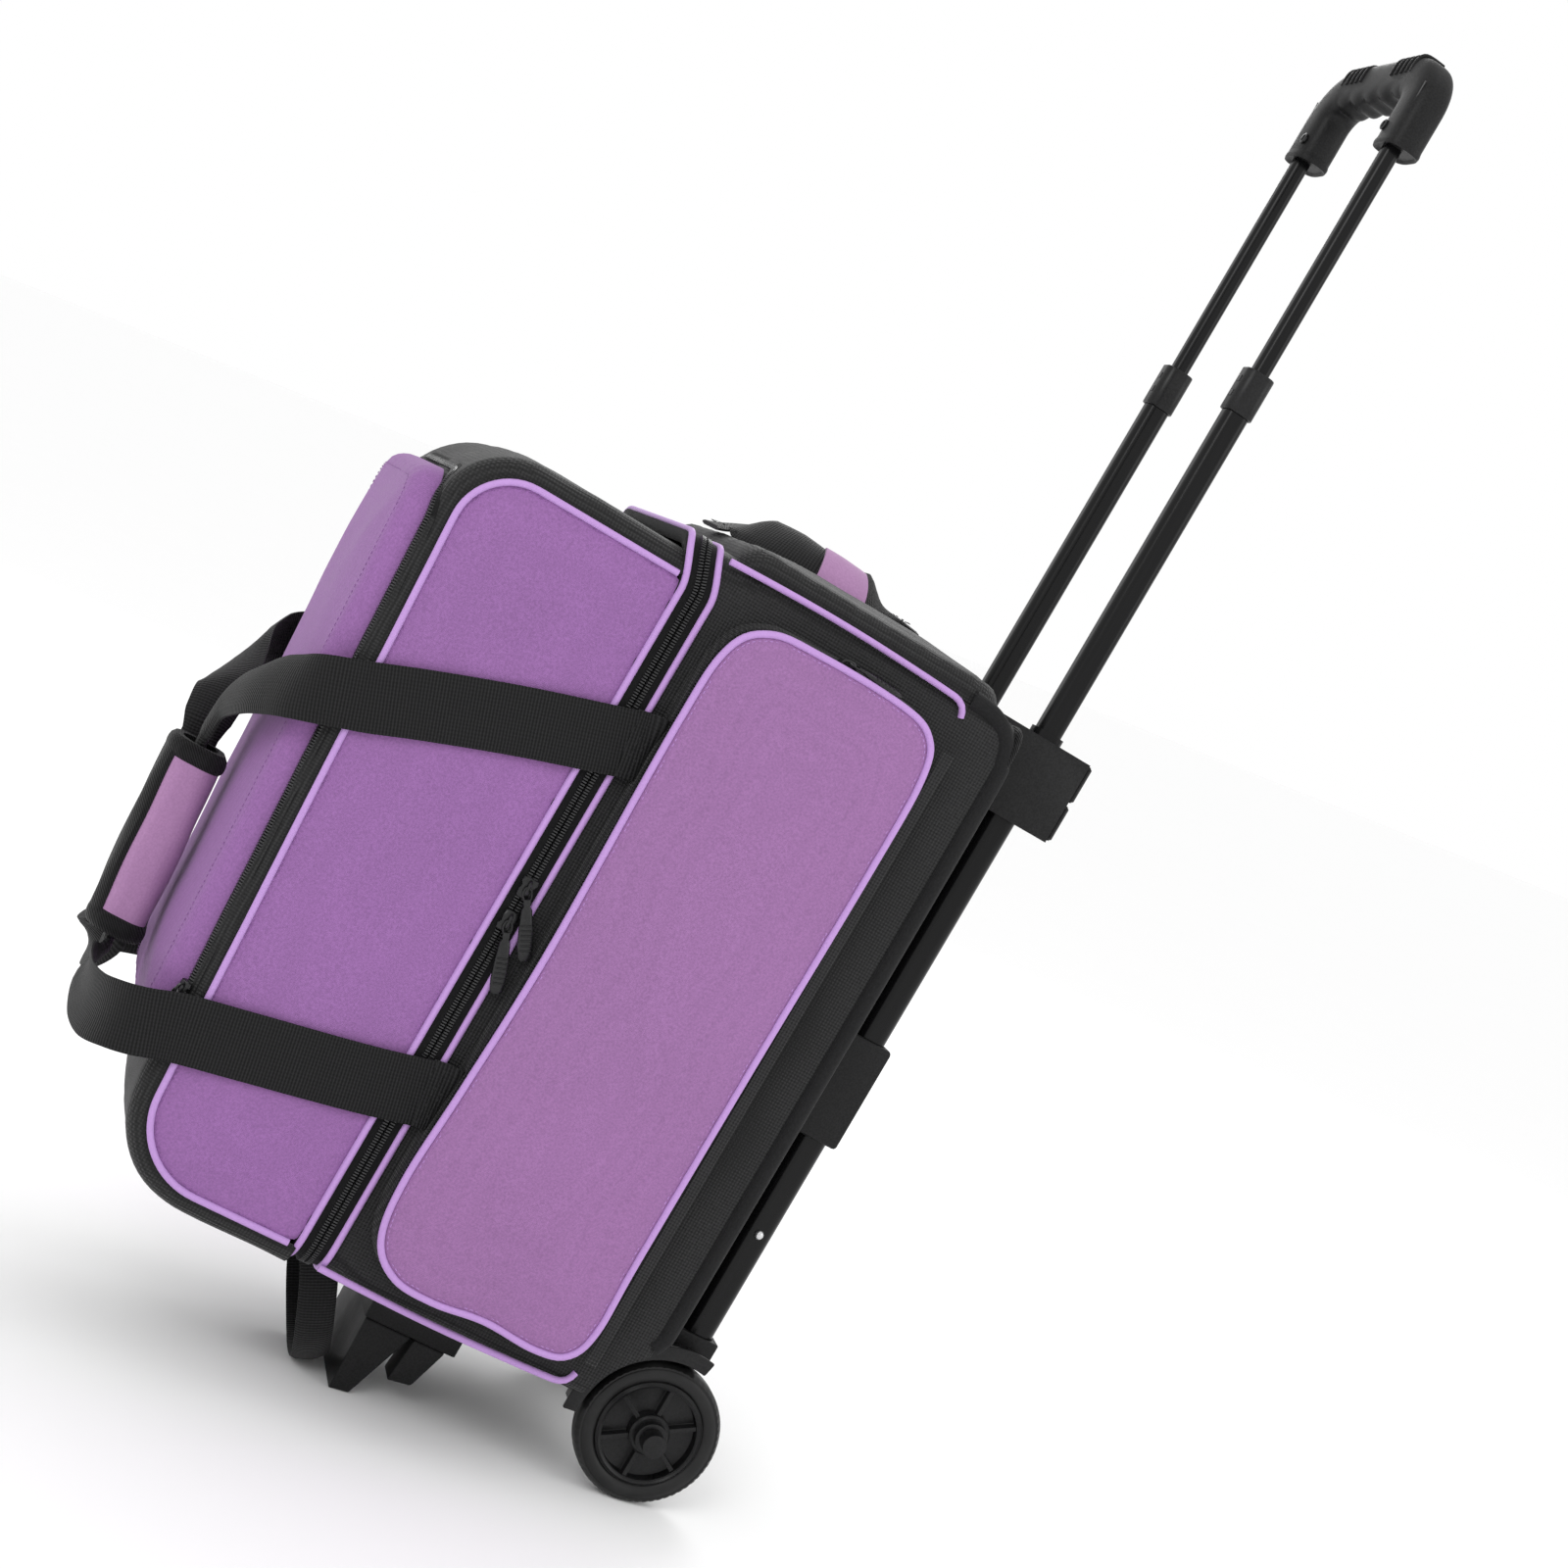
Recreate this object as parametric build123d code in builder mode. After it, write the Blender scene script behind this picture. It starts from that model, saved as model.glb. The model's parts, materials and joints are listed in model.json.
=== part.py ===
"""Two-ball roller bag, modelled in the bag's own directions and then stood on its wheels and feet.

Bag directions: the origin is the middle of the wheel axle, +X points to the telescopic tubes at the
back, -X to the lid and the carry straps, -Y to the near side and +Z along the tubes. Millimetres.
"""
from build123d import *
from math import cos, radians, sin, tan
import os

os.makedirs("parts", exist_ok=True)

# Standing pose
LEAN = 9.0
GAP = 0.3

# Wheels
WHEEL_R, WHEEL_IN, WHEEL_OUT = 50.0, 85.7, 107.7
RIM_R, AXLE_R, AXLE_FIT, AXLE_HALF = 36.5, 4.0, 0.05, 119.0
WELL_R, WELL_IN = 60.0, 79.0

# Ball compartment, its four walls and its back board
HALF_W, CLOTH = 122.0, 4.0
TUB_LOW, TUB_HIGH, TUB_FRONT, BACK = 8.0, 530.0, -254.0, -27.0
INSIDE_BACK = BACK - CLOTH
BALL_R, BALL_X, BALL_ZS = 109.0, -147.0, (139.0, 399.0)
MIDDLE_Z = 269.0

# Main zip, lid and front flap
ZIP_X = -265.0
LID_BACK, LID_LOW, LID_HIGH = -276.0, 10.0, 512.0
LID_FRONT_LOW, LID_FRONT_HIGH = -410.0, -435.0
LID_ROUND_LOW, LID_ROUND_HIGH = 70.0, 40.0
FLAP_W, FLAP_H, FLAP_DEPTH, FLAP_TAPER, FLAP_Z = 224.0, 404.0, 26.0, 28.0, 285.0
PIPE_R = 2.0

# Side pockets
POCKET = (-235.0, -72.0, 20.0, 506.0)
POCKET_ROUND, POCKET_OUT, DOOR_OUT = 45.0, 139.0, 143.3

# Telescopic tubes and grip
TUBE_X, TUBE_Y = 5.6, 70.0
OUTER, MIDDLE, INNER = (23.0, 20.4), (18.4, 15.8), (12.6, 12.0)
OUTER_Z, MIDDLE_Z_RANGE, INNER_Z = (51.0, 540.0), (485.0, 817.0), (759.0, 1029.0)
TUBE_WALL = 1.2
GRIP_X, GRIP_HALF, GRIP_Z = (-5.0, 23.0), 86.0, (993.0, 1050.0, 1066.0)

# Straps
WEB, WEB_T, STRAP_Y = 42.0, 3.0, 128.5
STRAP_ROOT_X, WRAP_X, WRAP_Z = -253.2, -476.0, (152.0, 264.0)

# Stand
FOOT_HALF, FOOT_FRONT_X, FOOT_BACK_X = 51.5, -193.0, -179.0

finished = []


def keep(piece, node):
    """Label a finished piece and keep it for writing."""
    piece.part.label = node
    finished.append(piece)


def floor_z(x):
    """Height of the floor under a point of the leaning bag."""
    return (x * sin(radians(LEAN)) - WHEEL_R) / cos(radians(LEAN))


def blocks(*corners):
    """One box or several, each from its low corner to its high corner."""
    with BuildPart() as group:
        for low, high in corners:
            with Locations(Vector(*[(a + b) / 2 for a, b in zip(low, high)])):
                Box(*[b - a for a, b in zip(low, high)])
    return group


def plate(points, radii, y_low, y_high, wall=0.0):
    """An outline in X and Z with rounded corners, between two Y; with a wall, only its rim."""
    with BuildPart() as panel:
        with BuildSketch(Plane.XZ.offset(-y_high)):
            with BuildLine():
                FilletPolyline(*points, radius=radii, close=True)
            make_face()
            if wall:
                offset(amount=-wall, mode=Mode.SUBTRACT)
        extrude(amount=y_high - y_low)
    return panel


def rectangle(x_low, x_high, z_low, z_high):
    return [(x_low, z_low), (x_high, z_low), (x_high, z_high), (x_low, z_high)]


def piping(points, radii, y, closed=False):
    """A round cord along an outline in X and Z at one Y."""
    with BuildPart() as cord:
        with BuildLine(Plane.XZ.offset(-y)) as path:
            FilletPolyline(*points, radius=radii, close=closed)
        with BuildSketch(Plane(origin=path.line @ 0, z_dir=path.line % 0)):
            Circle(PIPE_R)
        sweep()
    return cord


def both(piece_at, sides=(-1, 1)):
    """One node of several solids: the same piece made for each side."""
    with BuildPart() as group:
        for side in sides:
            add(piece_at(side).part)
    return group


def webbing(stations):
    """Flat webbing through stations of (point, across, width, thickness), joined by ruled lofts."""
    points = [Vector(*station[0]) for station in stations]
    with BuildPart() as strap:
        for i, (point, across, width, thickness) in enumerate(stations):
            along = points[min(i + 1, len(points) - 1)] - points[max(i - 1, 0)]
            side = Vector(*across)
            side = side - along * (side.dot(along) / along.dot(along))
            with BuildSketch(Plane(origin=points[i], x_dir=side, z_dir=along)):
                Rectangle(width, thickness)
        loft(ruled=True)
    return strap


def span(side, near, far):
    """Two Y values measured outward from the middle, on one side, lowest first."""
    return (side * far, side * near) if side < 0 else (side * near, side * far)


def cut_wells(panel, y_limit=200.0):
    """Take the two wheel wells out of a panel."""
    with panel:
        for side in (-1, 1):
            with Locations((0, side * (WELL_IN + y_limit / 2), 0)):
                Cylinder(WELL_R, y_limit, rotation=(90, 0, 0), mode=Mode.SUBTRACT)
    return panel


# Ball compartment
def build_tub():
    outline = rectangle(TUB_FRONT, INSIDE_BACK, TUB_LOW, TUB_HIGH)
    for side, word in ((-1, "near"), (1, "far")):
        low, high = span(side, HALF_W - CLOTH, HALF_W)
        keep(cut_wells(plate(outline, [6] * 4, low, high)), f"tub_{word}_side")
    inner = HALF_W - CLOTH
    top = blocks(((TUB_FRONT, -inner, TUB_HIGH - CLOTH), (INSIDE_BACK, inner, TUB_HIGH)))
    keep(top, "tub_top_end")
    low_end = blocks(((TUB_FRONT, -inner, TUB_LOW), (INSIDE_BACK, inner, TUB_LOW + CLOTH)))
    keep(cut_wells(low_end), "tub_bottom_end")
    board = blocks(((INSIDE_BACK, -HALF_W, TUB_LOW), (BACK, HALF_W, TUB_HIGH)))
    keep(cut_wells(board), "back_board")


def build_ball_rests():
    half, rim, pad, depth = 100.0, 14.0, 122.0, 44.0
    rests = []
    for z in BALL_ZS:
        rests.append(((INSIDE_BACK - depth, -half, z - pad), (INSIDE_BACK, half, z + pad)))
    cradles = blocks(*rests)
    with cradles:
        with Locations([(BALL_X, 0, z) for z in BALL_ZS]):
            Sphere(BALL_R + GAP, rotation=(0, 90, 0), mode=Mode.SUBTRACT)
    keep(cut_wells(cradles), "ball_cradles")
    thick = 3.0
    divider = blocks(
        ((-200, -HALF_W + CLOTH + GAP, MIDDLE_Z - thick), (INSIDE_BACK, HALF_W - CLOTH - GAP, MIDDLE_Z + thick))
    )
    keep(divider, "ball_divider")


def zip_frame(x_low, x_high, z_low, z_high):
    """Half of a zip tape that runs round the mouth of the compartment."""
    tape = 2.0
    frame = blocks(((x_low, -HALF_W, z_low), (x_high, HALF_W, z_high)))
    with frame:
        with Locations(((x_low + x_high) / 2, 0, (z_low + z_high) / 2)):
            Box(30, 2 * (HALF_W - tape), z_high - z_low - 2 * tape, mode=Mode.SUBTRACT)
    return frame


def build_side_pipings():
    z_low, z_high, y = TUB_LOW + 3, TUB_HIGH - 3, HALF_W + PIPE_R + 0.1
    with BuildPart() as cords:
        for side in (-1, 1):
            for z in (z_low, z_high):
                with Locations(((TUB_FRONT + 2 - 86) / 2, side * y, z)):
                    Cylinder(PIPE_R, -86 - TUB_FRONT - 2, rotation=(0, 90, 0))
    keep(cords, "tub_side_pipings")


# Side pockets
def build_pockets():
    outline = rectangle(*POCKET)
    radii = [POCKET_ROUND] * 4
    x_low, x_high, z_low, z_high = POCKET
    inset = 0.2
    for side, word in ((-1, "near"), (1, "far")):
        low, high = span(side, HALF_W, POCKET_OUT)
        keep(plate(outline, radii, low, high, wall=3.0), f"{word}_pocket_gusset")
        low, high = span(side, POCKET_OUT + GAP, DOOR_OUT)
        keep(plate(outline, radii, low, high), f"{word}_pocket_door")
        rail = rectangle(x_low + inset, x_high - inset, z_low + inset, z_high - inset)
        rail_radii = [POCKET_ROUND - inset] * 4
        keep(piping(rail, rail_radii, side * (DOOR_OUT + PIPE_R), closed=True), f"{word}_pocket_piping")


# Lid with the front compartment
def lid_outline(inset=0.0):
    return [
        (LID_BACK, LID_LOW + inset),
        (LID_FRONT_LOW + inset, LID_LOW + inset),
        (LID_FRONT_HIGH + inset, LID_HIGH - inset),
        (LID_BACK, LID_HIGH - inset),
    ]


def flap_plane(lift):
    """Plane on the sloping front of the lid, lifted forward."""
    run, rise = LID_FRONT_HIGH - LID_FRONT_LOW, LID_HIGH - LID_LOW
    length = (run**2 + rise**2) ** 0.5
    forward = Vector(-rise / length, 0, run / length)
    x = LID_FRONT_LOW + run * (FLAP_Z - LID_LOW) / rise
    return Plane(origin=Vector(x, 0, FLAP_Z) + forward * lift, x_dir=(0, 1, 0), z_dir=forward)


def build_lid():
    radii = [0, LID_ROUND_LOW, LID_ROUND_HIGH, 0]
    for side, word in ((-1, "near"), (1, "far")):
        low, high = span(side, HALF_W - CLOTH, HALF_W)
        keep(plate(lid_outline(), radii, low, high), f"lid_{word}_side")
    inner = HALF_W - CLOTH
    gusset = plate(lid_outline(), radii, -inner, inner, wall=CLOTH)
    with gusset:
        with Locations((LID_BACK, 0, (LID_LOW + LID_HIGH) / 2)):
            Box(10, 300, LID_HIGH - LID_LOW - 2 * CLOTH, mode=Mode.SUBTRACT)
        with Locations((-430, 0, FLAP_Z)):
            Box(70, 200, 360, mode=Mode.SUBTRACT)
    keep(gusset, "lid_gusset")
    inside = inner - GAP
    panel = blocks(
        ((LID_BACK - 3, -inside, LID_LOW + CLOTH + GAP), (LID_BACK, inside, LID_HIGH - CLOTH - GAP))
    )
    keep(panel, "lid_partition")
    edge = 3.0
    path = lid_outline(edge)
    rail = [(LID_BACK - edge, path[0][1]), path[1], path[2], (LID_BACK - edge, path[3][1])]
    round_off = [LID_ROUND_LOW - edge, LID_ROUND_HIGH - edge]
    keep(both(lambda side: piping(rail, round_off, side * (HALF_W + PIPE_R + 0.1))), "lid_side_pipings")


def build_flap():
    with BuildPart() as flap:
        with BuildSketch(flap_plane(0.6)):
            RectangleRounded(FLAP_W, FLAP_H, 35)
        extrude(amount=FLAP_DEPTH, taper=FLAP_TAPER)
        with BuildSketch(flap_plane(0.6)):
            RectangleRounded(FLAP_W - 2 * CLOTH, FLAP_H - 2 * CLOTH, 35 - CLOTH)
        extrude(amount=FLAP_DEPTH - CLOTH, taper=FLAP_TAPER, mode=Mode.SUBTRACT)
    keep(flap, "front_flap")
    with BuildPart() as tape:
        with BuildSketch(flap_plane(GAP)):
            RectangleRounded(FLAP_W + 11, FLAP_H + 11, 40)
            RectangleRounded(FLAP_W + 1, FLAP_H + 1, 35.5, mode=Mode.SUBTRACT)
        extrude(amount=2)
    keep(tape, "front_zip_tape")


# Carry straps and their wrap
def run_along_side(stations):
    """Outline in X and Z of webbing between stations on its middle line."""
    half = WEB / 2
    return [(x, z - half) for x, z in stations] + [(x, z + half) for x, z in reversed(stations)]


def run_across_front(side, bundle_y, top_edge, bottom_edge):
    """Webbing that bends round the lid's front corner to the wrap, cut to its outline in Y and Z."""
    flat, front_x = side * STRAP_Y, WRAP_X - 45
    stops = [flat * 1.02, side * 98, side * 50, bundle_y]
    edge = list(zip(stops, bottom_edge)) + list(zip(reversed(stops), reversed(top_edge)))
    with BuildPart() as band:
        with BuildSketch():
            with BuildLine():
                Polyline((-438, flat), (-465, side * 98), (-478, side * 50), (WRAP_X, bundle_y))
            trace(line_width=WEB_T)
        extrude(amount=500)
        with BuildSketch(Plane.YZ.offset(front_x)):
            with BuildLine():
                Polyline(*edge, close=True)
            make_face()
        extrude(amount=120, mode=Mode.INTERSECT)
    return band


def carry_strap(side, bundle_y):
    """One strap: along the side, round the lid's front corner, through the wrap, and back."""
    flat = side * STRAP_Y
    low, high = flat - WEB_T / 2, flat + WEB_T / 2
    upper = [(STRAP_ROOT_X, 397), (STRAP_ROOT_X - 9, 397), (-420, 344), (-438.5, 338)]
    lower = [(STRAP_ROOT_X, 142), (STRAP_ROOT_X - 9, 142), (-412, 107), (-438.5, 102)]
    lead, bundle = 12.0, (26.0, 8.0)
    with BuildPart() as strap:
        for stations in (upper, lower):
            add(plate(run_along_side(stations), 0, low, high).part)
        add(run_across_front(side, bundle_y, (359, 337, 311, 290), (317, 295, 270, 267)).part)
        add(run_across_front(side, bundle_y, (123, 125, 137, 149), (81, 83, 103, 126)).part)
        with Locations((WRAP_X, bundle_y, sum(WRAP_Z) / 2)):
            Box(*bundle, WRAP_Z[1] - WRAP_Z[0] + 2 * lead)
    return strap


def build_carry_straps():
    keep(carry_strap(-1, -12.0), "near_carry_strap")
    keep(carry_strap(1, 16.0), "far_carry_strap")
    with BuildPart() as wrap:
        with BuildSketch(Plane.XY.offset(WRAP_Z[0])):
            with Locations((WRAP_X, -12)):
                RectangleRounded(34, 40, 14)
                Rectangle(27, 9, mode=Mode.SUBTRACT)
        extrude(amount=WRAP_Z[1] - WRAP_Z[0])
    keep(wrap, "grip_wrap")
    tabs = []
    for side in (-1, 1):
        low, high = span(side, HALF_W + 0.1, STRAP_Y + WEB_T / 2)
        for z in (397, 142):
            tabs.append(((-250, low, z - WEB / 2), (-238, high, z + WEB / 2)))
    keep(blocks(*tabs), "strap_tabs")


def build_end_handles():
    width = 40.0
    with BuildPart() as handle:
        with BuildSketch(Plane.XZ.offset(-width / 2)):
            with BuildLine():
                FilletPolyline((-242, 532), (-230, 563), (-138, 571), (-126, 532), radius=12)
            trace(line_width=WEB_T)
        extrude(amount=width)
    keep(handle, "top_end_handle")
    x = (0.9, 0, 0.45)
    droop = [(-246, 62, 1), (-236, 64, -18), (-221, 56, -50), (-210, 32, -73)]
    near = [((px, -py, pz), x, 24, 3) for px, py, pz in droop]
    far = [((px, py, pz), x, 24, 3) for px, py, pz in reversed(droop)]
    keep(webbing(near + [((-207, 0, -78), x, 24, 3)] + far), "bottom_end_handle")


# Base, stand and wheels
def build_base():
    lug_in, lug_out = 56.0, 78.0
    parts = [((-200, -76, -4), (-12, 76, TUB_LOW - 0.1))]
    for side in (-1, 1):
        low, high = span(side, lug_in, lug_out)
        parts.append(((-40, low, -12), (16, high, TUB_LOW - 0.1)))
        parts.append(((BACK + 0.2, low, -12), (16, high, OUTER_Z[0])))
    tray = blocks(*parts)
    with tray:
        Cylinder(AXLE_R, 260, rotation=(90, 0, 0), mode=Mode.SUBTRACT)
    keep(tray, "base_tray")
    with BuildPart() as axle:
        Cylinder(AXLE_R, 2 * AXLE_HALF, rotation=(90, 0, 0))
    keep(axle, "axle")


def build_housings():
    inside, outside, skin = 83.2, 112.0, 1.7
    for side, word in ((-1, "near"), (1, "far")):
        with BuildPart() as housing:
            with Locations((0, side * (inside + outside) / 2, 0)):
                Cylinder(WELL_R - 2, outside - inside, rotation=(90, 0, 0))
            with Locations((0, side * ((inside + outside) / 2 + skin), 0)):
                Cylinder(WELL_R - 5, outside - inside, rotation=(90, 0, 0), mode=Mode.SUBTRACT)
            Cylinder(AXLE_R + 12, 300, rotation=(90, 0, 0), mode=Mode.SUBTRACT)
            with Locations((-18, 0, 27)):
                Box(84, 300, 66, mode=Mode.INTERSECT)
        keep(housing, f"wheel_housing_{word}")


def build_wheels():
    width, middle = WHEEL_OUT - WHEEL_IN, (WHEEL_OUT + WHEEL_IN) / 2
    hub_out, hub_r, spokes = AXLE_HALF - 3.5, 11.0, 6
    for side, word in ((-1, "near"), (1, "far")):
        with BuildPart() as tyre:
            with Locations((0, side * middle, 0)):
                Cylinder(WHEEL_R, width, rotation=(90, 0, 0))
                Cylinder(RIM_R, width, rotation=(90, 0, 0), mode=Mode.SUBTRACT)
            fillet(tyre.edges().filter_by(GeomType.CIRCLE).sort_by(SortBy.RADIUS)[-2:], 3)
        keep(tyre, f"tyre_{word}")
        with BuildPart() as hub:
            with Locations((0, side * middle, 0)):
                Cylinder(RIM_R, width - 2, rotation=(90, 0, 0))
                Cylinder(RIM_R - 4, width, rotation=(90, 0, 0), mode=Mode.SUBTRACT)
                Cylinder(RIM_R - 2, 3, rotation=(90, 0, 0))
            with Locations((0, side * (WHEEL_IN + hub_out) / 2, 0)):
                Cylinder(hub_r, hub_out - WHEEL_IN, rotation=(90, 0, 0))
            for i in range(spokes):
                turn = Location((0, side * middle, 0), (0, 360 * i / spokes + 30, 0))
                with Locations(turn):
                    with Locations((RIM_R / 2, 0, 0)):
                        Box(RIM_R - 6, width - 6, 3)
            Cylinder(AXLE_R + AXLE_FIT, 300, rotation=(90, 0, 0), mode=Mode.SUBTRACT)
        keep(hub, f"wheel_hub_{word}")
    cap_out, cap_r = 126.8, 8.0
    with BuildPart() as caps:
        for side in (-1, 1):
            with Locations((0, side * (hub_out + 0.5 + cap_out) / 2, 0)):
                Cylinder(cap_r, cap_out - hub_out - 0.5, rotation=(90, 0, 0))
            with Locations((0, side * (hub_out + AXLE_HALF) / 2, 0)):
                Cylinder(AXLE_R, AXLE_HALF - hub_out, rotation=(90, 0, 0), mode=Mode.SUBTRACT)
    keep(caps, "axle_caps")


def build_stand():
    base = -4.2
    keep(blocks(((-197, -55, -26), (-128, 55, base))), "stand_plate")
    front = [
        (-195, -26.2),
        (FOOT_FRONT_X, floor_z(FOOT_FRONT_X)),
        (FOOT_BACK_X, floor_z(FOOT_BACK_X)),
        (-160, -26.2),
    ]
    keep(plate(front, 0, -FOOT_HALF, FOOT_HALF), "front_foot")
    rear = [(-158, -26.2), (-161, -60), (-144, -57), (-134, -26.2)]
    rear_in = 28.0
    keep(both(lambda side: plate(rear, 0, *span(side, rear_in, FOOT_HALF))), "rear_feet")


# Telescopic tubes, clips, bracket and grip
def tubes(size, z_range, wall, corner):
    with BuildPart() as pair:
        with BuildSketch(Plane.XY.offset(z_range[0])):
            with Locations((TUBE_X, -TUBE_Y), (TUBE_X, TUBE_Y)):
                RectangleRounded(*size, corner)
                RectangleRounded(size[0] - 2 * wall, size[1] - 2 * wall, corner - wall, mode=Mode.SUBTRACT)
        extrude(amount=z_range[1] - z_range[0])
    return pair


def tube_sections(size, corner, z):
    """The outlines of both tubes at one height."""
    with BuildSketch(Plane.XY.offset(z)) as sections:
        with Locations((TUBE_X, -TUBE_Y), (TUBE_X, TUBE_Y)):
            RectangleRounded(*size, corner)
    return sections.sketch


def cut_tubes(piece, size, corner, z_low, z_high):
    """Take the two tube holes out of a piece."""
    with piece:
        extrude(tube_sections(size, corner, z_low), amount=z_high - z_low, mode=Mode.SUBTRACT)
    return piece


def build_tubes():
    fit = 0.1
    hole = (OUTER[0] + fit, OUTER[1] + fit)
    keep(tubes(OUTER, OUTER_Z, TUBE_WALL, 8), "outer_tubes")
    keep(tubes(MIDDLE, MIDDLE_Z_RANGE, TUBE_WALL, 6), "middle_tubes")
    keep(tubes(INNER, INNER_Z, 1.0, 4.5), "inner_tubes")

    socket_z, clip_z = (OUTER_Z[0] + 0.1, 68.0), (223.0, 300.0)
    socket, clips = [], []
    for side in (-1, 1):
        low, high = span(side, 57, 83)
        socket.append(((-10, low, socket_z[0]), (21, high, socket_z[1])))
        low, high = span(side, 56, 84)
        clips.append(((BACK + 0.1, low, clip_z[0]), (21, high, clip_z[1])))
    keep(cut_tubes(blocks(*socket), hole, 8, 0, 100), "tube_sockets")
    keep(cut_tubes(blocks(*clips), hole, 8, 200, 320), "tube_clips")

    low_z, high_z, back_x, skin, half = 475.0, 535.0, 37.0, 3.0, 88.0
    bracket = blocks(
        ((BACK + 0.1, -half, low_z), (back_x, half, high_z)), ((-64, -half, TUB_HIGH + 0.1), (BACK + 1, half, high_z))
    )
    with bracket:
        with Locations(((BACK + back_x) / 2, 0, (low_z + high_z) / 2 - skin)):
            Box(back_x - BACK - 2 * skin, 2 * (half - skin), high_z - low_z, mode=Mode.SUBTRACT)
        extrude(tube_sections((OUTER[0] + 8, OUTER[1] + 8), 2, low_z), amount=high_z - low_z)
    keep(cut_tubes(bracket, hole, 8, 400, 600), "tube_bracket")
    heads = [((back_x + 0.05, y - 3.5, 500), (back_x + 2, y + 3.5, 507)) for y in (-40, 0, 40)]
    with BuildPart() as screws:
        for low, high in heads:
            with Locations((back_x + 1.05, (low[1] + high[1]) / 2, 504)):
                Cylinder(3.5, 2, rotation=(0, 90, 0))
    keep(screws, "bracket_screws")

    collar_z = (788.0, 819.4)
    collars = tubes((22.0, 19.4), collar_z, 1.0, 7)
    with collars:
        extrude(tube_sections((22.0, 19.4), 7, collar_z[0]), amount=collar_z[1] - collar_z[0])
    cut_tubes(collars, (MIDDLE[0] + fit, MIDDLE[1] + fit), 6, 780, MIDDLE_Z_RANGE[1] + fit)
    cut_tubes(collars, (INNER[0] + 0.8, INNER[1] + 0.8), 4.9, 780, 830)
    keep(collars, "tube_collars")


def build_grip():
    x_low, x_high = GRIP_X
    leg_z, split_z, top_z = GRIP_Z
    middle_x = (x_low + x_high) / 2
    opening_half, opening_top = 54.0, 1032.0
    with BuildPart() as lower:
        with BuildSketch(Plane.YZ.offset(x_low)):
            with BuildLine():
                Polyline(
                    (-GRIP_HALF, leg_z), (-opening_half, leg_z), (-opening_half, opening_top),
                    (opening_half, opening_top), (opening_half, leg_z), (GRIP_HALF, leg_z),
                    (GRIP_HALF, split_z), (-GRIP_HALF, split_z), close=True,
                )
            make_face()
        extrude(amount=x_high - x_low)
        fillet(lower.edges().filter_by(Axis.Z), 5)
    cut_tubes(lower, (INNER[0] + 0.1, INNER[1] + 0.1), 4.5, leg_z - 1, INNER_Z[1] + 0.1)
    keep(lower, "grip_lower")

    button_half, button_x = 20.0, (2.0, 16.0)
    with BuildPart() as upper:
        with Locations((middle_x, 0, (split_z + GAP + top_z) / 2)):
            Box(x_high - x_low, 2 * GRIP_HALF, top_z - split_z - GAP)
        fillet(upper.edges().filter_by(Axis.Z), 5)
        fillet(upper.faces().sort_by(Axis.Z)[-1].edges(), 5)
        with Locations((sum(button_x) / 2, 0, top_z)):
            Box(button_x[1] - button_x[0], 2 * button_half, 2 * (top_z - split_z), mode=Mode.SUBTRACT)
    keep(upper, "grip_upper")
    room, travel_room = 0.5, 5.0
    with BuildPart() as button:
        with Locations((sum(button_x) / 2, 0, (split_z + travel_room + top_z + 1.5) / 2)):
            Box(
                button_x[1] - button_x[0] - 2 * room, 2 * (button_half - room),
                top_z + 1.5 - split_z - travel_room,
            )
        fillet(button.faces().sort_by(Axis.Z)[-1].edges(), 1.5)
    keep(button, "release_button")


# Zip sliders with their pulls
def pull(start, end, width, y_low, y_high):
    """A flat pull between two points in X and Z."""
    run, rise = end[0] - start[0], end[1] - start[1]
    half = width / 2 / (run**2 + rise**2) ** 0.5
    nx, nz = -rise * half, run * half
    corners = [
        (start[0] + nx, start[1] + nz), (start[0] - nx, start[1] - nz),
        (end[0] - nx, end[1] - nz), (end[0] + nx, end[1] + nz),
    ]
    return plate(corners, 0, y_low, y_high)


def build_sliders():
    out = HALF_W + 0.2
    for word, z, start, end in (
        ("upper", 286, (-271, 284), (-267, 236)), ("lower", 262, (-257, 258), (-241, 208)),
    ):
        slider = blocks(((ZIP_X - 7, -out - 7.8, z - 7), (ZIP_X + 7, -out, z + 7)))
        with slider:
            add(pull(start, end, 8, -out - 11.2, -out - 8.2).part)
        keep(slider, f"main_slider_{word}")
    top = POCKET[3] + 0.3
    for side, word in ((-1, "near"), (1, "far")):
        low, high = span(side, 125, 134)
        tail_low, tail_high = span(side, 127, 132)
        pair = ((-168, low, top), (-154, high, top + 6)), ((-155, tail_low, top + 1), (-112, tail_high, top + 4))
        keep(blocks(*pair), f"{word}_pocket_slider")
    x = flap_plane(0).origin.X + 8
    tail = ((x - 9, -120, 90), (x - 5.6, -112, 124))
    keep(blocks(((x - 6, -121, 118), (x - 3.2, -113.4, 132)), tail), "front_slider")


def write_standing():
    """Lean the whole bag back onto its wheels and feet, centre it, and write every node."""
    turn = Location((0, 0, 0), (0, LEAN, 0))
    box = Compound(children=[piece.part.moved(turn) for piece in finished]).bounding_box()
    middle = -(box.min.X + box.max.X) / 2
    standing = Location((middle, 0, WHEEL_R)) * turn
    print("axle stands at", round(middle, 3), "and the box is", box.size)
    for piece in finished:
        name = piece.part.label
        export_step(piece.part.moved(standing), f"parts/{name}.step")


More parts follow.
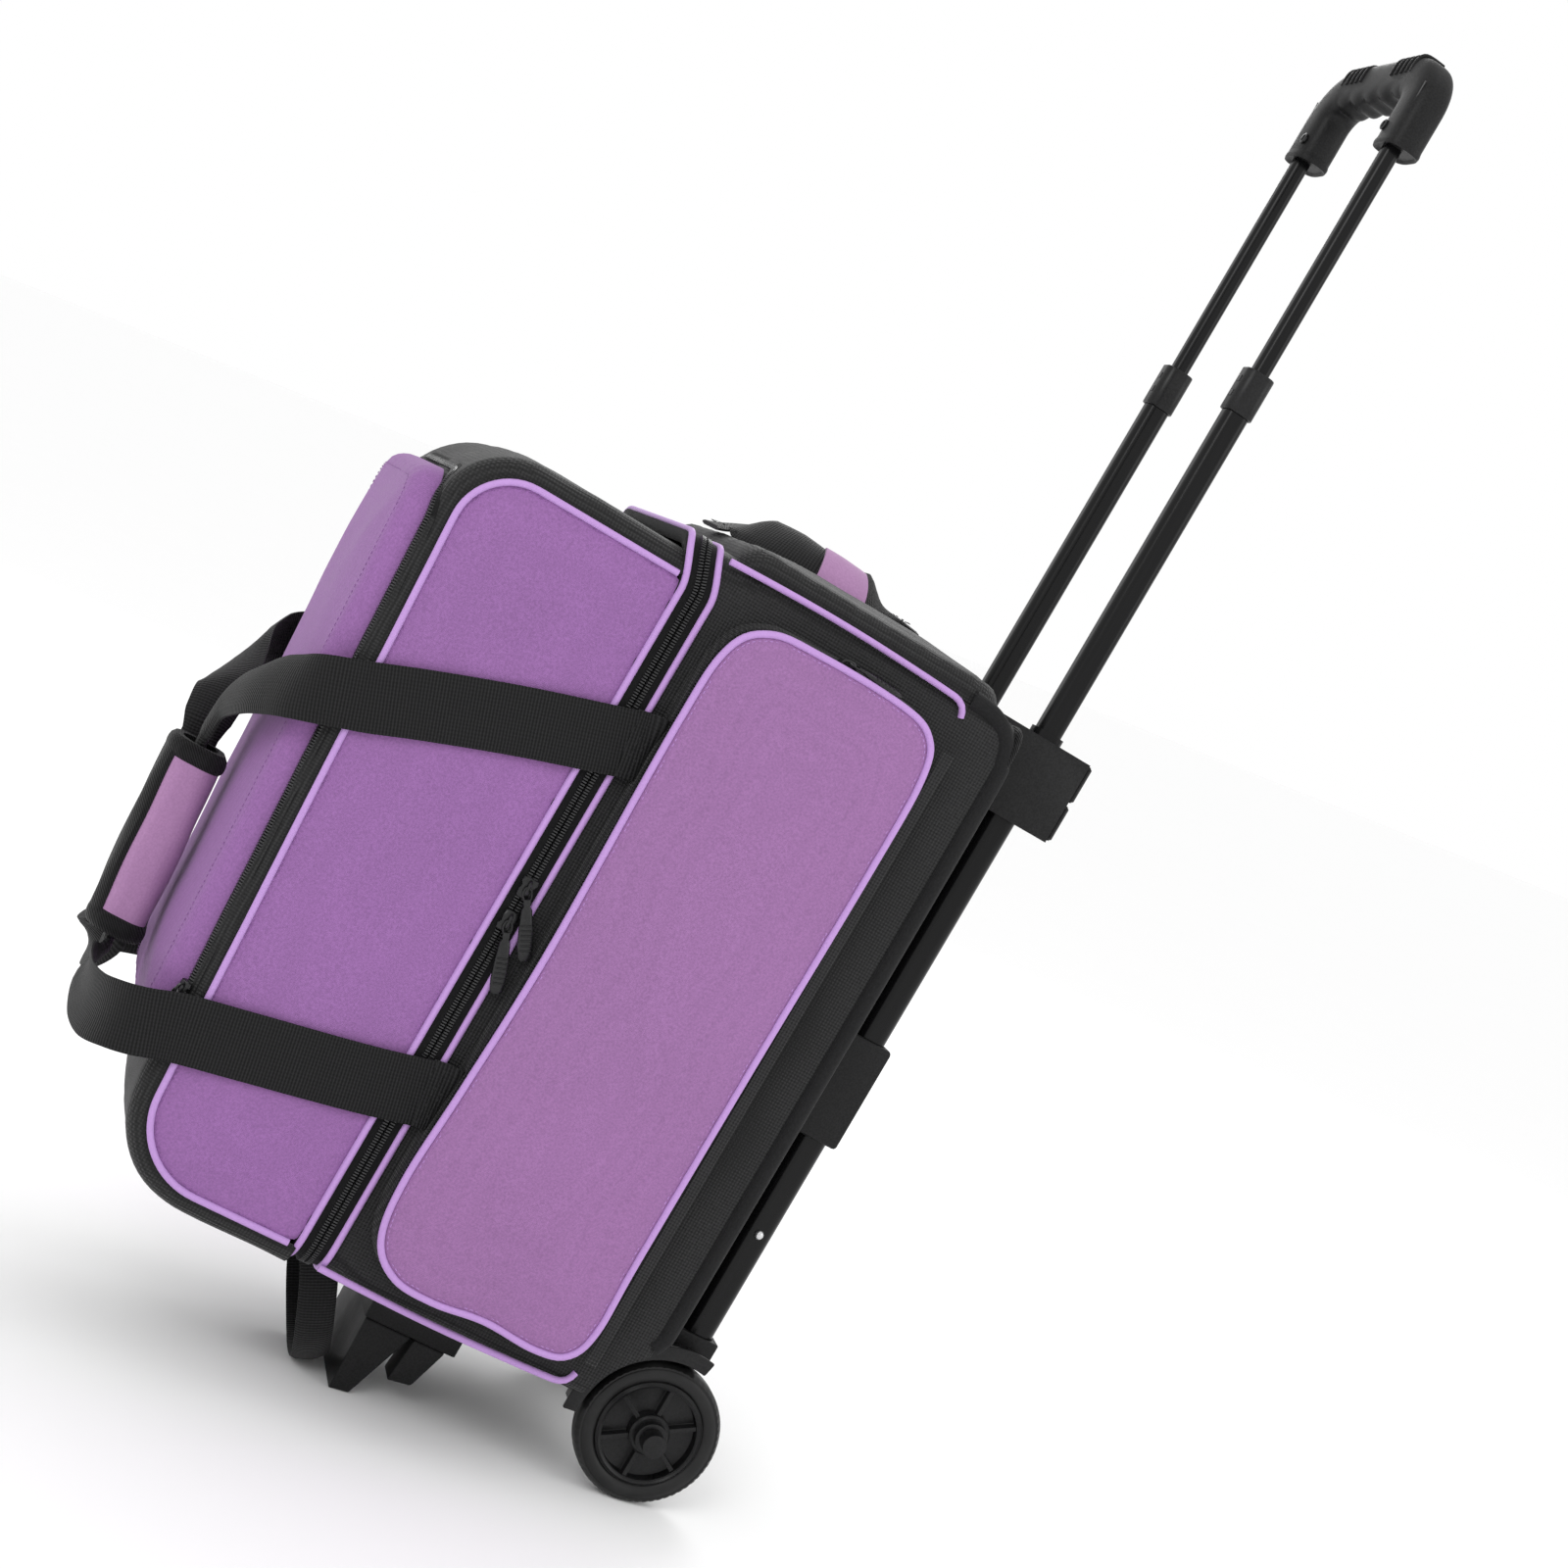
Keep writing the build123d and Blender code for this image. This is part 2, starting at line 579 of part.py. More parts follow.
build_tub()
build_ball_rests()
keep(zip_frame(ZIP_X + 0.2, TUB_FRONT - 0.1, TUB_LOW, TUB_HIGH), "tub_zip_tape")
keep(zip_frame(LID_BACK + 0.1, ZIP_X - 0.2, LID_LOW - 2, LID_HIGH + 18), "lid_zip_tape")
build_side_pipings()
build_pockets()
build_lid()
build_flap()
build_carry_straps()
build_end_handles()
build_base()
build_housings()
build_wheels()
build_stand()
build_tubes()
build_grip()
build_sliders()
write_standing()
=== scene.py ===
"""Looks of the two-ball roller bag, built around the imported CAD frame.

Pieces are drawn in the bag's own directions, in millimetres: the origin is the middle of the wheel
axle, +X points to the tubes at the back, -Y to the near side and +Z along the tubes. STAND turns them
into the frame's metres, with the bag leaning back on its wheels and foot.
"""
import bmesh
import bpy
import json
import math
import numpy as np
from mathutils import Matrix, Vector, noise
from mathutils.geometry import delaunay_2d_cdt


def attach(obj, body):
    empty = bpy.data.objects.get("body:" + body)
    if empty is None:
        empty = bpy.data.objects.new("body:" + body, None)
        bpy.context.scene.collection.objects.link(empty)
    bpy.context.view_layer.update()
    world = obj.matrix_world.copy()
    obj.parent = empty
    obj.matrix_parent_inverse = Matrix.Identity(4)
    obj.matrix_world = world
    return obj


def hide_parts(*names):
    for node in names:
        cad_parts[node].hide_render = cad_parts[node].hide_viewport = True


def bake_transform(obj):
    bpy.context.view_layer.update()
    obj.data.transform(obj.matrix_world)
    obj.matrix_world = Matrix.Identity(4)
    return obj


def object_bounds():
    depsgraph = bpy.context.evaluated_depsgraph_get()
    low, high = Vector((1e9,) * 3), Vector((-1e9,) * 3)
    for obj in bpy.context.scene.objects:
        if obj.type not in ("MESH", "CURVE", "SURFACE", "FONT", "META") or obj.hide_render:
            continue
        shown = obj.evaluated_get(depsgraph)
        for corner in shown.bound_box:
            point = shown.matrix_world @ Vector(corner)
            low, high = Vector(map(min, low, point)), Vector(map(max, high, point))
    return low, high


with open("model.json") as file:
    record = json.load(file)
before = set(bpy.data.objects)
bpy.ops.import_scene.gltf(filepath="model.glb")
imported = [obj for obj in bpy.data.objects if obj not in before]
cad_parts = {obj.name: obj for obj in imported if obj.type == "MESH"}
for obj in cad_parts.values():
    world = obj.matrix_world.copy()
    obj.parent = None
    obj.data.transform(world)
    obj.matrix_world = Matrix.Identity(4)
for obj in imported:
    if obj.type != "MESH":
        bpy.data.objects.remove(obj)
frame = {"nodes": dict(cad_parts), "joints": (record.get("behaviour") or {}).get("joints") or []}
cad_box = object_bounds()

LEAN = math.radians(9)
axle_at = next(j for j in frame["joints"] if j["name"] == "wheel_near_spin")["pos_m"]
STAND = (
    Matrix.Translation((axle_at[0], 0, axle_at[2])) @ Matrix.Rotation(LEAN, 4, "Y") @ Matrix.Scale(0.001, 4)
)
TO_BAG = np.array(STAND.inverted())
TO_ROW = np.array(STAND)


def extent(node):
    """Lowest and highest corner of a CAD node in the bag's directions, in millimetres."""
    points = np.array([v.co for v in frame["nodes"][node].data.vertices], float)
    points = points @ TO_BAG[:3, :3].T + TO_BAG[:3, 3]
    return points.min(0), points.max(0)


def row(point):
    """Bag point to the frame's metres, as a Vector."""
    return STAND @ Vector(point)


# ---------------------------------------------------------------- materials
class Shader:
    """A Principled material with a small helper for adding and joining nodes."""

    def __init__(self, name, color, rough, metallic=0.0, coat=0.0, sheen=0.0, specular=0.5):
        self.material = bpy.data.materials.new(name)
        self.material.use_nodes = True
        self.tree = self.material.node_tree
        self.bsdf = self.tree.nodes["Principled BSDF"]
        values = {
            "Base Color": (*color, 1), "Roughness": rough, "Metallic": metallic, "Coat Weight": coat,
            "Coat Roughness": 0.12, "Sheen Weight": sheen, "Sheen Roughness": 0.45,
            "Specular IOR Level": specular,
        }
        for key, value in values.items():
            self.bsdf.inputs[key].default_value = value

    def node(self, kind, inputs=(), **settings):
        made = self.tree.nodes.new(kind)
        for key, value in settings.items():
            setattr(made, key, value)
        for key, value in dict(inputs).items():
            if isinstance(value, bpy.types.NodeSocket):
                self.tree.links.new(value, made.inputs[key])
            else:
                made.inputs[key].default_value = value
        return made

    def math(self, operation, a, b=0.0):
        return self.node("ShaderNodeMath", {0: a, 1: b}, operation=operation).outputs[0]

    def add(self, a, b):
        return self.math("ADD", a, b)

    def times(self, a, b):
        return self.math("MULTIPLY", a, b)

    def place(self):
        """Object coordinates turned to the bag's directions."""
        where = self.node("ShaderNodeTexCoord").outputs["Object"]
        return self.node("ShaderNodeMapping", {"Vector": where, "Rotation": (0, -LEAN, 0)}).outputs[0]

    def noise(self, vector, scale, detail=2.0, rough=0.5):
        inputs = {"Vector": vector, "Scale": scale, "Detail": detail, "Roughness": rough}
        return self.node("ShaderNodeTexNoise", inputs).outputs["Fac"]

    def ramp(self, value, low, high, out_low=0.0, out_high=1.0):
        inputs = {"Value": value, "From Min": low, "From Max": high, "To Min": out_low, "To Max": out_high}
        return self.node("ShaderNodeMapRange", inputs).outputs[0]

    def mix(self, factor, a, b):
        made = self.node("ShaderNodeMix", data_type="RGBA")
        for socket, value in (("Factor_Float", factor), ("A_Color", a), ("B_Color", b)):
            target = next(i for i in made.inputs if i.identifier == socket)
            if isinstance(value, bpy.types.NodeSocket):
                self.tree.links.new(value, target)
            else:
                target.default_value = (*value, 1) if isinstance(value, tuple) else value
        return next(o for o in made.outputs if o.identifier == "Result_Color")

    def join(self, value, key):
        self.tree.links.new(value, self.bsdf.inputs[key])

    def bump(self, height, strength, distance_mm):
        inputs = {"Height": height, "Strength": strength, "Distance": distance_mm / 1000}
        self.join(self.node("ShaderNodeBump", inputs).outputs[0], "Normal")

    def bands(self, vector, pitch_mm, direction):
        """Smooth bands, 0 to 1, one every pitch."""
        scale = math.tau / 20 / (pitch_mm / 1000)
        inputs = {"Vector": vector, "Scale": scale, "Distortion": 0.0, "Detail": 0.0}
        made = self.node("ShaderNodeTexWave", inputs, wave_type="BANDS", bands_direction=direction)
        return made.outputs["Fac"]


def shade(color, factor):
    """A lighter or darker colour."""
    return tuple(min(1.0, c * factor) for c in color)


def woven(name, color, pitch, bump, rough=0.8, sheen=0.1, mottle=0.12, thread_shading=0.15, specular=0.2):
    """Plain-woven cloth: threads both ways, an uneven yarn and slow changes of shade. The raised threads are
    also painted lighter and the sunken ones darker, as painted highlight and shade.
    """
    s = Shader(name, color, rough, sheen=sheen, specular=specular)
    at = s.place()
    x, y, z = (s.bands(at, pitch, axis) for axis in "XYZ")
    threads = s.add(s.times(x, z), s.times(y, s.add(x, z)))
    yarn = s.noise(at, 700, 2, 0.6)
    height = s.add(s.times(threads, 0.4), s.times(yarn, 0.5))
    slow = s.noise(at, 9, 3, 0.55)
    from_yarn = s.times(s.ramp(yarn, 0.3, 0.7), 0.6 - thread_shading / 2)
    tone = s.add(from_yarn, s.times(slow, 0.4 - thread_shading / 2))
    # painted highlight and shade: raised threads lighter, the gaps between them darker
    tone = s.add(tone, s.times(s.ramp(threads, 0.2, 1.6), thread_shading))
    s.join(s.mix(tone, shade(color, 1 - mottle), shade(color, 1 + mottle)), "Base Color")
    s.join(s.ramp(slow, 0.3, 0.7, rough - 0.06, rough + 0.06), "Roughness")
    s.bump(height, bump, 0.35)
    return s.material


def moulded(name, color, rough=0.42, grain=0.12, coat=0.0, specular=0.3):
    """Moulded plastic: a fine spark-eroded grain and slightly worn, uneven gloss."""
    s = Shader(name, color, rough, coat=coat, specular=specular)
    at = s.place()
    fine, slow = s.noise(at, 800, 2, 0.6), s.noise(at, 22, 3, 0.6)
    s.join(s.ramp(slow, 0.3, 0.7, rough - 0.08, rough + 0.1), "Roughness")
    tone = s.add(s.times(s.ramp(fine, 0.35, 0.65), 0.6), s.times(slow, 0.4))
    s.join(s.mix(tone, shade(color, 0.3), shade(color, 1.8)), "Base Color")
    s.bump(s.add(fine, s.times(slow, 0.4)), grain, 0.3)
    return s.material


def ribbed(name, color):
    """Webbing: cross ribs along its length and fine threads across, from the strap's own coordinates. Its
    colour follows their height: painted shade in the grooves and painted highlight on the crests, with some
    random fuzz.
    """
    rib_pitch, thread_pitch = 2.1, 2.4
    s = Shader(name, color, 0.62, sheen=0.06, specular=0.16)
    web = s.node("ShaderNodeAttribute", attribute_name="web").outputs["Vector"]
    parts = s.node("ShaderNodeSeparateXYZ", {0: web})
    along = s.math("SINE", s.times(parts.outputs[1], math.tau / rib_pitch))
    across = s.math("SINE", s.times(parts.outputs[0], math.tau / thread_pitch))
    fuzz = s.noise(s.place(), 900, 2)
    height = s.add(s.times(along, 0.5), s.times(across, 0.15))
    height = s.add(height, s.times(fuzz, 0.5))
    # painted shade and highlight: darker in the grooves, lighter on the rib crests; the fuzz part is random
    # tone
    s.join(s.mix(s.ramp(height, -0.2, 0.8), shade(color, 0.3), shade(color, 2.0)), "Base Color")
    s.bump(height, 0.8, 0.5)
    return s.material


def painted(name, color):
    """Gloss powder coat on the tubes, with faint long rubbing marks."""
    s = Shader(name, color, 0.2, coat=0.05, specular=0.18)
    at = s.place()
    stretched = s.node("ShaderNodeMapping", {"Vector": at, "Scale": (1, 1, 0.05)}).outputs[0]
    rub = s.noise(stretched, 500, 3, 0.6)
    s.join(s.ramp(rub, 0.35, 0.75, 0.17, 0.34), "Roughness")
    s.bump(s.noise(at, 260, 2), 0.05, 0.3)
    return s.material


def steel(name):
    """Bright, slightly uneven zinc-plated steel."""
    s = Shader(name, (0.62, 0.62, 0.63), 0.28, metallic=1.0)
    s.join(s.ramp(s.noise(s.place(), 900, 3), 0.3, 0.7, 0.2, 0.4), "Roughness")
    return s.material


def rubber(name, color):
    """Tyre compound: matt, dusty in places."""
    s = Shader(name, color, 0.42, specular=0.3)
    at = s.place()
    dust = s.noise(at, 35, 4, 0.65)
    s.join(s.mix(s.ramp(dust, 0.45, 0.75), color, shade(color, 2.2)), "Base Color")
    s.join(s.ramp(dust, 0.3, 0.7, 0.3, 0.55), "Roughness")
    s.bump(s.noise(at, 1100, 2), 0.15, 0.3)
    return s.material


LILAC = (0.285, 0.138, 0.315)
LILAC_LID = (0.262, 0.120, 0.318)
M = {
    "lilac": woven("lilac_cloth", LILAC, 1.1, 0.35, mottle=0.26),
    "lilac_lid": woven("lilac_lid_cloth", LILAC_LID, 1.1, 0.35, mottle=0.26),
    "wrap": woven("lilac_neoprene", (0.375, 0.205, 0.375), 0.8, 0.2, rough=0.9, sheen=0.2, mottle=0.15),
    "piping": woven("lilac_satin", (0.47, 0.275, 0.60), 0.7, 0.2, rough=0.5, mottle=0.08),
    # ballistic: a strong painted highlight and shade on its threads
    "ballistic": woven("ballistic_black", (0.0165, 0.0165, 0.0168), 2.2, 1.3, rough=0.66, mottle=0.85,
                       thread_shading=0.6),
    "lining": woven("black_lining", (0.011, 0.011, 0.0115), 1.0, 0.5, rough=0.85, sheen=0.05, mottle=0.5),
    "tape": woven("zip_tape", (0.006, 0.006, 0.0063), 0.8, 0.5, rough=0.75, sheen=0.05, mottle=0.5,
                  specular=0.12),
    "web": ribbed("webbing", (0.0085, 0.0085, 0.0088)),
    "coil": moulded("zip_coil", (0.02, 0.02, 0.021), rough=0.3, grain=0.05, specular=0.5),
    "enamel": moulded("slider_enamel", (0.008, 0.008, 0.0085), rough=0.28, grain=0.05, coat=0.1),
    "plastic": moulded("black_plastic", (0.0075, 0.0075, 0.0078), rough=0.46, grain=0.5, specular=0.2),
    "hub": moulded("hub_plastic", (0.0065, 0.0065, 0.0068), rough=0.33, grain=0.15, specular=0.26),
    "tyre": rubber("tyre_rubber", (0.006, 0.006, 0.006)),
    "tube": painted("tube_paint", (0.0035, 0.0035, 0.0038)),
    "steel": steel("steel"),
    "thread": woven("stitch_thread", (0.02, 0.02, 0.021), 0.6, 0.3),
}
SLOTS = {                                # slot names by material; make() looks one up, or takes the one it is told, but keeps it nowhere
    "lilac": "lilac_fabric", "lilac_lid": "lilac_fabric", "wrap": "lilac_wrap", "piping": "lilac_piping",
    "ballistic": "black_fabric", "lining": "black_fabric", "tape": "zip_tape", "coil": "zip_tape",
    "web": "black_webbing", "thread": "black_webbing", "enamel": "zip_metal", "plastic": "black_plastic",
    "hub": "hub_plastic", "tyre": "tyre", "tube": "tube_black", "steel": "steel",
}


# ---------------------------------------------------------------- mesh helpers
def to_row(points):
    """Bag millimetres to the frame's metres."""
    return np.asarray(points, float) @ TO_ROW[:3, :3].T + TO_ROW[:3, 3]


def add_object(name, data):
    """A new object, linked to the scene."""
    made = bpy.data.objects.new(name, data)
    bpy.context.scene.collection.objects.link(made)
    return made


def make(name, points, faces, mat, body, node=None, slot=None, sharp=40, web=None):
    """A mesh piece from points in bag millimetres, riding on a body."""
    mesh = bpy.data.meshes.new(name)
    mesh.from_pydata(to_row(points).tolist(), [], [list(map(int, f)) for f in faces])
    mesh.validate()
    mesh.shade_smooth()
    mesh.set_sharp_from_angle(angle=math.radians(sharp))
    if web is not None:
        layer = mesh.attributes.new("web", "FLOAT_VECTOR", "POINT")
        layer.data.foreach_set("vector", np.asarray(web, np.float32).ravel())
    mesh.materials.append(M[mat])
    piece = add_object(name, mesh)
    if body:
        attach(piece, body)
    if node:
        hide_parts(*([node] if isinstance(node, str) else node))
    slot or SLOTS[mat]
    return piece


def joined(parts):
    """Several (points, faces) as one."""
    points, faces, start = [], [], 0
    for some_points, some_faces in parts:
        points.append(np.asarray(some_points, float))
        faces += [[i + start for i in f] for f in some_faces]
        start += len(some_points)
    return np.vstack(points), faces


def bridge(rings, closed=True, caps=(True, True)):
    """Faces between rings of equally many points; closed rings may be capped."""
    count = len(rings[0])
    points = np.vstack(rings)
    faces = []
    for i in range(len(rings) - 1):
        for j in range(count if closed else count - 1):
            a, b = i * count + j, i * count + (j + 1) % count
            faces.append([a, b, b + count, a + count])
    last = (len(rings) - 1) * count
    if caps[0]:
        faces.append(list(range(count))[::-1])
    if caps[1]:
        faces.append([last + j for j in range(count)])
    return points, faces


def rim(count, rings):
    """Joins the last ring of a wall to its first, so that its cloth has a thickness."""
    last = (rings - 1) * count
    return [[last + j, last + (j + 1) % count, (j + 1) % count, j] for j in range(count)]


def looped(rings):
    """Closed rings bridged in order, and the last to the first."""
    points, faces = bridge(rings, caps=(False, False))
    return points, faces + rim(len(rings[0]), len(rings))


def around(sides):
    """Angles of a full turn."""
    return np.linspace(0, math.tau, sides, endpoint=False)


def arc_lengths(path):
    """Distance along a path to each of its points."""
    return np.r_[0, np.cumsum(np.linalg.norm(np.diff(path, axis=0), axis=1))]


def sample(at, lengths, values):
    """Rows of values read off at the given distances."""
    return np.stack([np.interp(at, lengths, values[:, k]) for k in range(values.shape[1])], 1)


def shut(path):
    """The path with its first point again at its end."""
    return np.vstack([path, path[:1]])


def relaxed(ring, times):
    """A closed ring smoothed by its neighbours."""
    for _ in range(times):
        ring = (np.roll(ring, 1, 0) + 2 * ring + np.roll(ring, -1, 0)) / 4
    return ring


def turning(outline):
    """Twice the area inside an outline, negative when it runs clockwise."""
    after = np.roll(outline, -1, 0)
    return np.sum(outline[:, 0] * after[:, 1] - after[:, 0] * outline[:, 1])


def rounded_outline(corners, radii, step=5.0, closed=True):
    """An outline with rounded corners, as points about one step apart."""
    corners = [np.array(c, float) for c in corners]
    count, points = len(corners), []
    for i, corner in enumerate(corners):
        if not closed and i in (0, count - 1):
            points.append(corner)
            continue
        before, after = corners[i - 1] - corner, corners[(i + 1) % count] - corner
        before, after = before / np.linalg.norm(before), after / np.linalg.norm(after)
        half = math.acos(np.clip(before @ after, -1, 1)) / 2
        back = radii[i] / math.tan(half)
        middle = (before + after) / np.linalg.norm(before + after) * radii[i] / math.sin(half) + corner
        start, end = corner + before * back - middle, corner + after * back - middle
        turn = math.pi - 2 * half
        steps = max(2, int(turn * radii[i] / step) + 1)
        for k in range(steps + 1):
            t = k / steps
            swing = (math.sin((1 - t) * turn) * start + math.sin(t * turn) * end) / math.sin(turn)
            points.append(middle + swing)
    return evenly(np.array(points), step, closed)


def rounded_box(low, high, radii, step):
    """Outline of a rectangle between two corners, with one radius or one for each corner."""
    corners = [low, (high[0], low[1]), high, (low[0], high[1])]
    return rounded_outline(corners, np.broadcast_to(radii, 4), step)


def evenly(points, step, closed=False):
    """Points at an even spacing along a line through the given points."""
    points = np.asarray(points, float)
    if closed:
        points = shut(points)
    lengths = arc_lengths(points)
    count = max(4, int(round(lengths[-1] / step)))
    at = np.linspace(0, lengths[-1], count + 1)
    if closed:
        at = at[:-1]
    return sample(at, lengths, points)


def evenly_count(ring, count):
    """The same closed ring with a set number of points, starting at its first point."""
    loop = shut(ring)
    lengths = arc_lengths(loop)
    return sample(np.linspace(0, lengths[-1], count + 1)[:-1], lengths, loop)


def smooth_line(points, step=3.0, closed=False):
    """A soft curve through a few points (Catmull-Rom), evenly spaced."""
    p = np.asarray(points, float)
    before, after = (p[-1], p[:2]) if closed else (2 * p[0] - p[1], 2 * p[-1] - p[-2])
    p = np.vstack([before, p, after])
    out = []
    for i in range(1, len(p) - 2):
        for t in np.linspace(0, 1, 12, endpoint=False):
            a, b, c, d = p[i - 1:i + 3]
            out.append(0.5 * (2 * b + (c - a) * t + (2 * a - 5 * b + 4 * c - d) * t**2
                              + (3 * b - a - 3 * c + d) * t**3))
    if not closed:
        out.append(p[-2])
    return evenly(out, step, closed)


def tangents(path, closed):
    """Unit directions along a path, one for each of its points."""
    if closed:
        return unit(np.roll(path, -1, 0) - np.roll(path, 1, 0))
    return unit(np.gradient(path, axis=0))


def unit(v):
    """Vectors scaled to a length of one."""
    return v / np.maximum(np.linalg.norm(v, axis=-1, keepdims=True), 1e-9)


def round_cord(path, radius, closed=False, sides=10):
    """A round tube along a path, without twist."""
    path = np.asarray(path, float)
    along = tangents(path, closed)
    side = unit(np.cross(along[0], [0.31, 0.52, 0.79]))
    rings = []
    angles = around(sides)
    for p, t in zip(path, along):
        side = unit(side - t * (side @ t))
        other = np.cross(t, side)
        rings.append(p + radius * (np.outer(np.cos(angles), side) + np.outer(np.sin(angles), other)))
    if closed:
        points, faces = bridge(rings, caps=(False, False))
        return points, faces + seam(rings, sides)
    return bridge(rings)


def seam(rings, sides):
    """Faces that join the last ring to the first, turned to match."""
    first, last = rings[0], rings[-1]
    apart = [np.linalg.norm(np.roll(first, -k, 0) - last, axis=1).sum() for k in range(sides)]
    shift = int(np.argmin(apart))
    start = (len(rings) - 1) * sides
    found = []
    for j in range(sides):
        n = (j + 1) % sides
        found.append([start + j, start + n, (n + shift) % sides, (j + shift) % sides])
    return found


def ribbon(path, across, width, thick, cup=0.0):
    """Flat webbing along a path, which may be cupped across, with coordinates for its ribs and threads."""
    edge = 0.35                          # thickness left at the selvedge
    path = np.asarray(path, float)
    along = tangents(path, False)
    across = np.broadcast_to(np.asarray(across, float), path.shape)
    width, thick, cup = (np.broadcast_to(v, len(path)) for v in (width, thick, cup))
    side = unit(across - along * (across * along).sum(1, keepdims=True))
    up = np.cross(along, side)
    shape = [(u, 1.0 if abs(u) < 0.95 else edge) for u in np.linspace(-1, 1, 9)]
    shape += [(u, -h) for u, h in reversed(shape)]
    rings, web = [], []
    lengths = arc_lengths(path)
    for i, p in enumerate(path):
        ring = [p + side[i] * u * width[i] / 2 + up[i] * (h * thick[i] / 2 + cup[i] * (0.4 - u * u))
                for u, h in shape]
        rings.append(np.array(ring))
        web += [(u * width[i] / 2, lengths[i], h) for u, h in shape]
    points, faces = bridge(rings)
    return points, faces, web


def box_shape(low, high, bevel=0.0):
    """A box, or one with its edges cut back."""
    low, high = np.array(low, float), np.array(high, float)
    if not bevel:
        pts = [[(low, high)[(i >> k) & 1][k] for k in range(3)] for i in range(8)]
        faces = [[0, 2, 3, 1], [4, 5, 7, 6], [0, 1, 5, 4], [2, 6, 7, 3], [0, 4, 6, 2], [1, 3, 7, 5]]
        return np.array(pts), faces
    rings = []
    for z, inset in ((low[2], bevel), (low[2] + bevel, 0), (high[2] - bevel, 0), (high[2], bevel)):
        (x0, y0), (x1, y1), c = low[:2] + inset, high[:2] - inset, bevel
        ring = [(x0 + c, y0), (x1 - c, y0), (x1, y0 + c), (x1, y1 - c),
                (x1 - c, y1), (x0 + c, y1), (x0, y1 - c), (x0, y0 + c)]
        rings.append(np.array([(x, y, z) for x, y in ring]))
    return bridge(rings)


EDGE_ANGLE = 35                          # degrees; gentler bends than this stay smooth


def soften(piece, width, segments=2):
    """Rounded edges, by modifiers, so that a CAD node's own mesh stays as packed."""
    piece.modifiers.new("weld", "WELD").merge_threshold = 0.00002
    bevel = piece.modifiers.new("edges", "BEVEL")
    bevel.width, bevel.segments, bevel.limit_method = width / 1000, segments, "ANGLE"
    bevel.angle_limit = math.radians(EDGE_ANGLE)
    bevel.harden_normals = False
    return piece


def cad(node, mat, width, segments=2):
    """A CAD node that stays: rounded edges and a finished material."""
    piece = frame["nodes"][node]
    piece.data.materials.clear()
    piece.data.materials.append(M[mat])
    piece.data.shade_smooth()
    piece.data.set_sharp_from_angle(angle=math.radians(EDGE_ANGLE))
    if width:
        soften(piece, width, segments)
    return piece


def ripple(points, size, scale, seed):
    """Slow, even noise for cloth that isn't quite flat: one value per point, in millimetres."""
    start = Vector((seed, seed * 2.1, seed * 3.3))
    return np.array([size * noise.noise(Vector(p) * scale + start) for p in points])


def panel(outline, crown, edge, place, pucker=0.35, sag=0.8, seed=1.0, step=7.0, back=None):
    """A padded cloth panel over a flat outline.

    It rises steeply from its sewn edge to `edge`, then slowly to `crown` in the middle. Short puckers
    run in from the seam. place(a, b, h) puts a point of the outline's plane, h proud, into the bag.
    """
    outline = np.asarray(outline, float)
    count = len(outline)
    inward = np.sign(turning(outline))
    insets = [0, 0.8, 2.0, 4.0, 7.0, 11.0, 16.0]
    rings = [outline]
    for near, far in zip(insets, insets[1:]):
        along = tangents(rings[-1], True)
        ring = rings[-1] + np.stack([-along[:, 1], along[:, 0]], 1) * inward * (far - near)
        rings.append(relaxed(ring, 2))
    spaced, faces = bridge(rings, caps=(False, False))
    depth = np.repeat(insets, count)
    low, high = outline.min(0), outline.max(0)
    grid = np.stack(np.meshgrid(np.arange(low[0], high[0], step), np.arange(low[1], high[1], step)), -1)
    grid = grid.reshape(-1, 2) + 0.01
    from_edge = distance_inside(grid, outline)
    keep = from_edge > insets[-1] + step * 0.55
    flat = np.vstack([spaced, grid[keep]])
    depth = np.r_[depth, from_edge[keep]]
    inner = list(range((len(insets) - 1) * count, len(flat)))
    loop = [(j, (j + 1) % count) for j in range(count)]
    found = delaunay_2d_cdt([Vector(flat[i]) for i in inner], loop, [], 1, 1e-4)
    origin = [ids[0] if ids else -1 for ids in found[3]]
    faces += [[inner[origin[i]] for i in f] for f in found[2] if min(origin[i] for i in f) >= 0]
    steep = np.sqrt(np.clip(1 - (1 - np.clip(depth / 12.0, 0, 1)) ** 2, 0, 1))
    rise = edge * steep + (crown - edge) * (1 - np.exp(-((depth / 45.0) ** 2)))
    phase = np.zeros(len(flat))
    phase[: len(spaced)] = np.tile(np.arange(count), len(insets))
    spaced_along = np.linalg.norm(np.roll(outline, -1, 0) - outline, axis=1).mean()
    creases = np.sin(phase * spaced_along / 3.1) + 0.6 * np.sin(phase * spaced_along / 7.7 + seed)
    rise += pucker * creases * np.exp(-((depth - 5) / 5.0) ** 2) * (depth > 0)
    flat3 = np.c_[flat, np.zeros(len(flat))]
    rise += ripple(flat3, sag, 0.013, seed) * np.clip(depth / 25, 0, 1)
    rise += ripple(flat3, sag * 0.35, 0.035, seed + 4) * np.clip(depth / 15, 0, 1)
    points = np.array([place(a, b, h) for (a, b), h in zip(flat, rise)])
    if back is not None:
        rear = np.array([place(a, b, -back) for a, b in outline])
        start = len(points)
        points = np.vstack([points, rear])
        faces += [[(j + 1) % count, j, start + j, start + (j + 1) % count] for j in range(count)]
        faces.append([start + j for j in range(count)][::-1])
    return points, faces


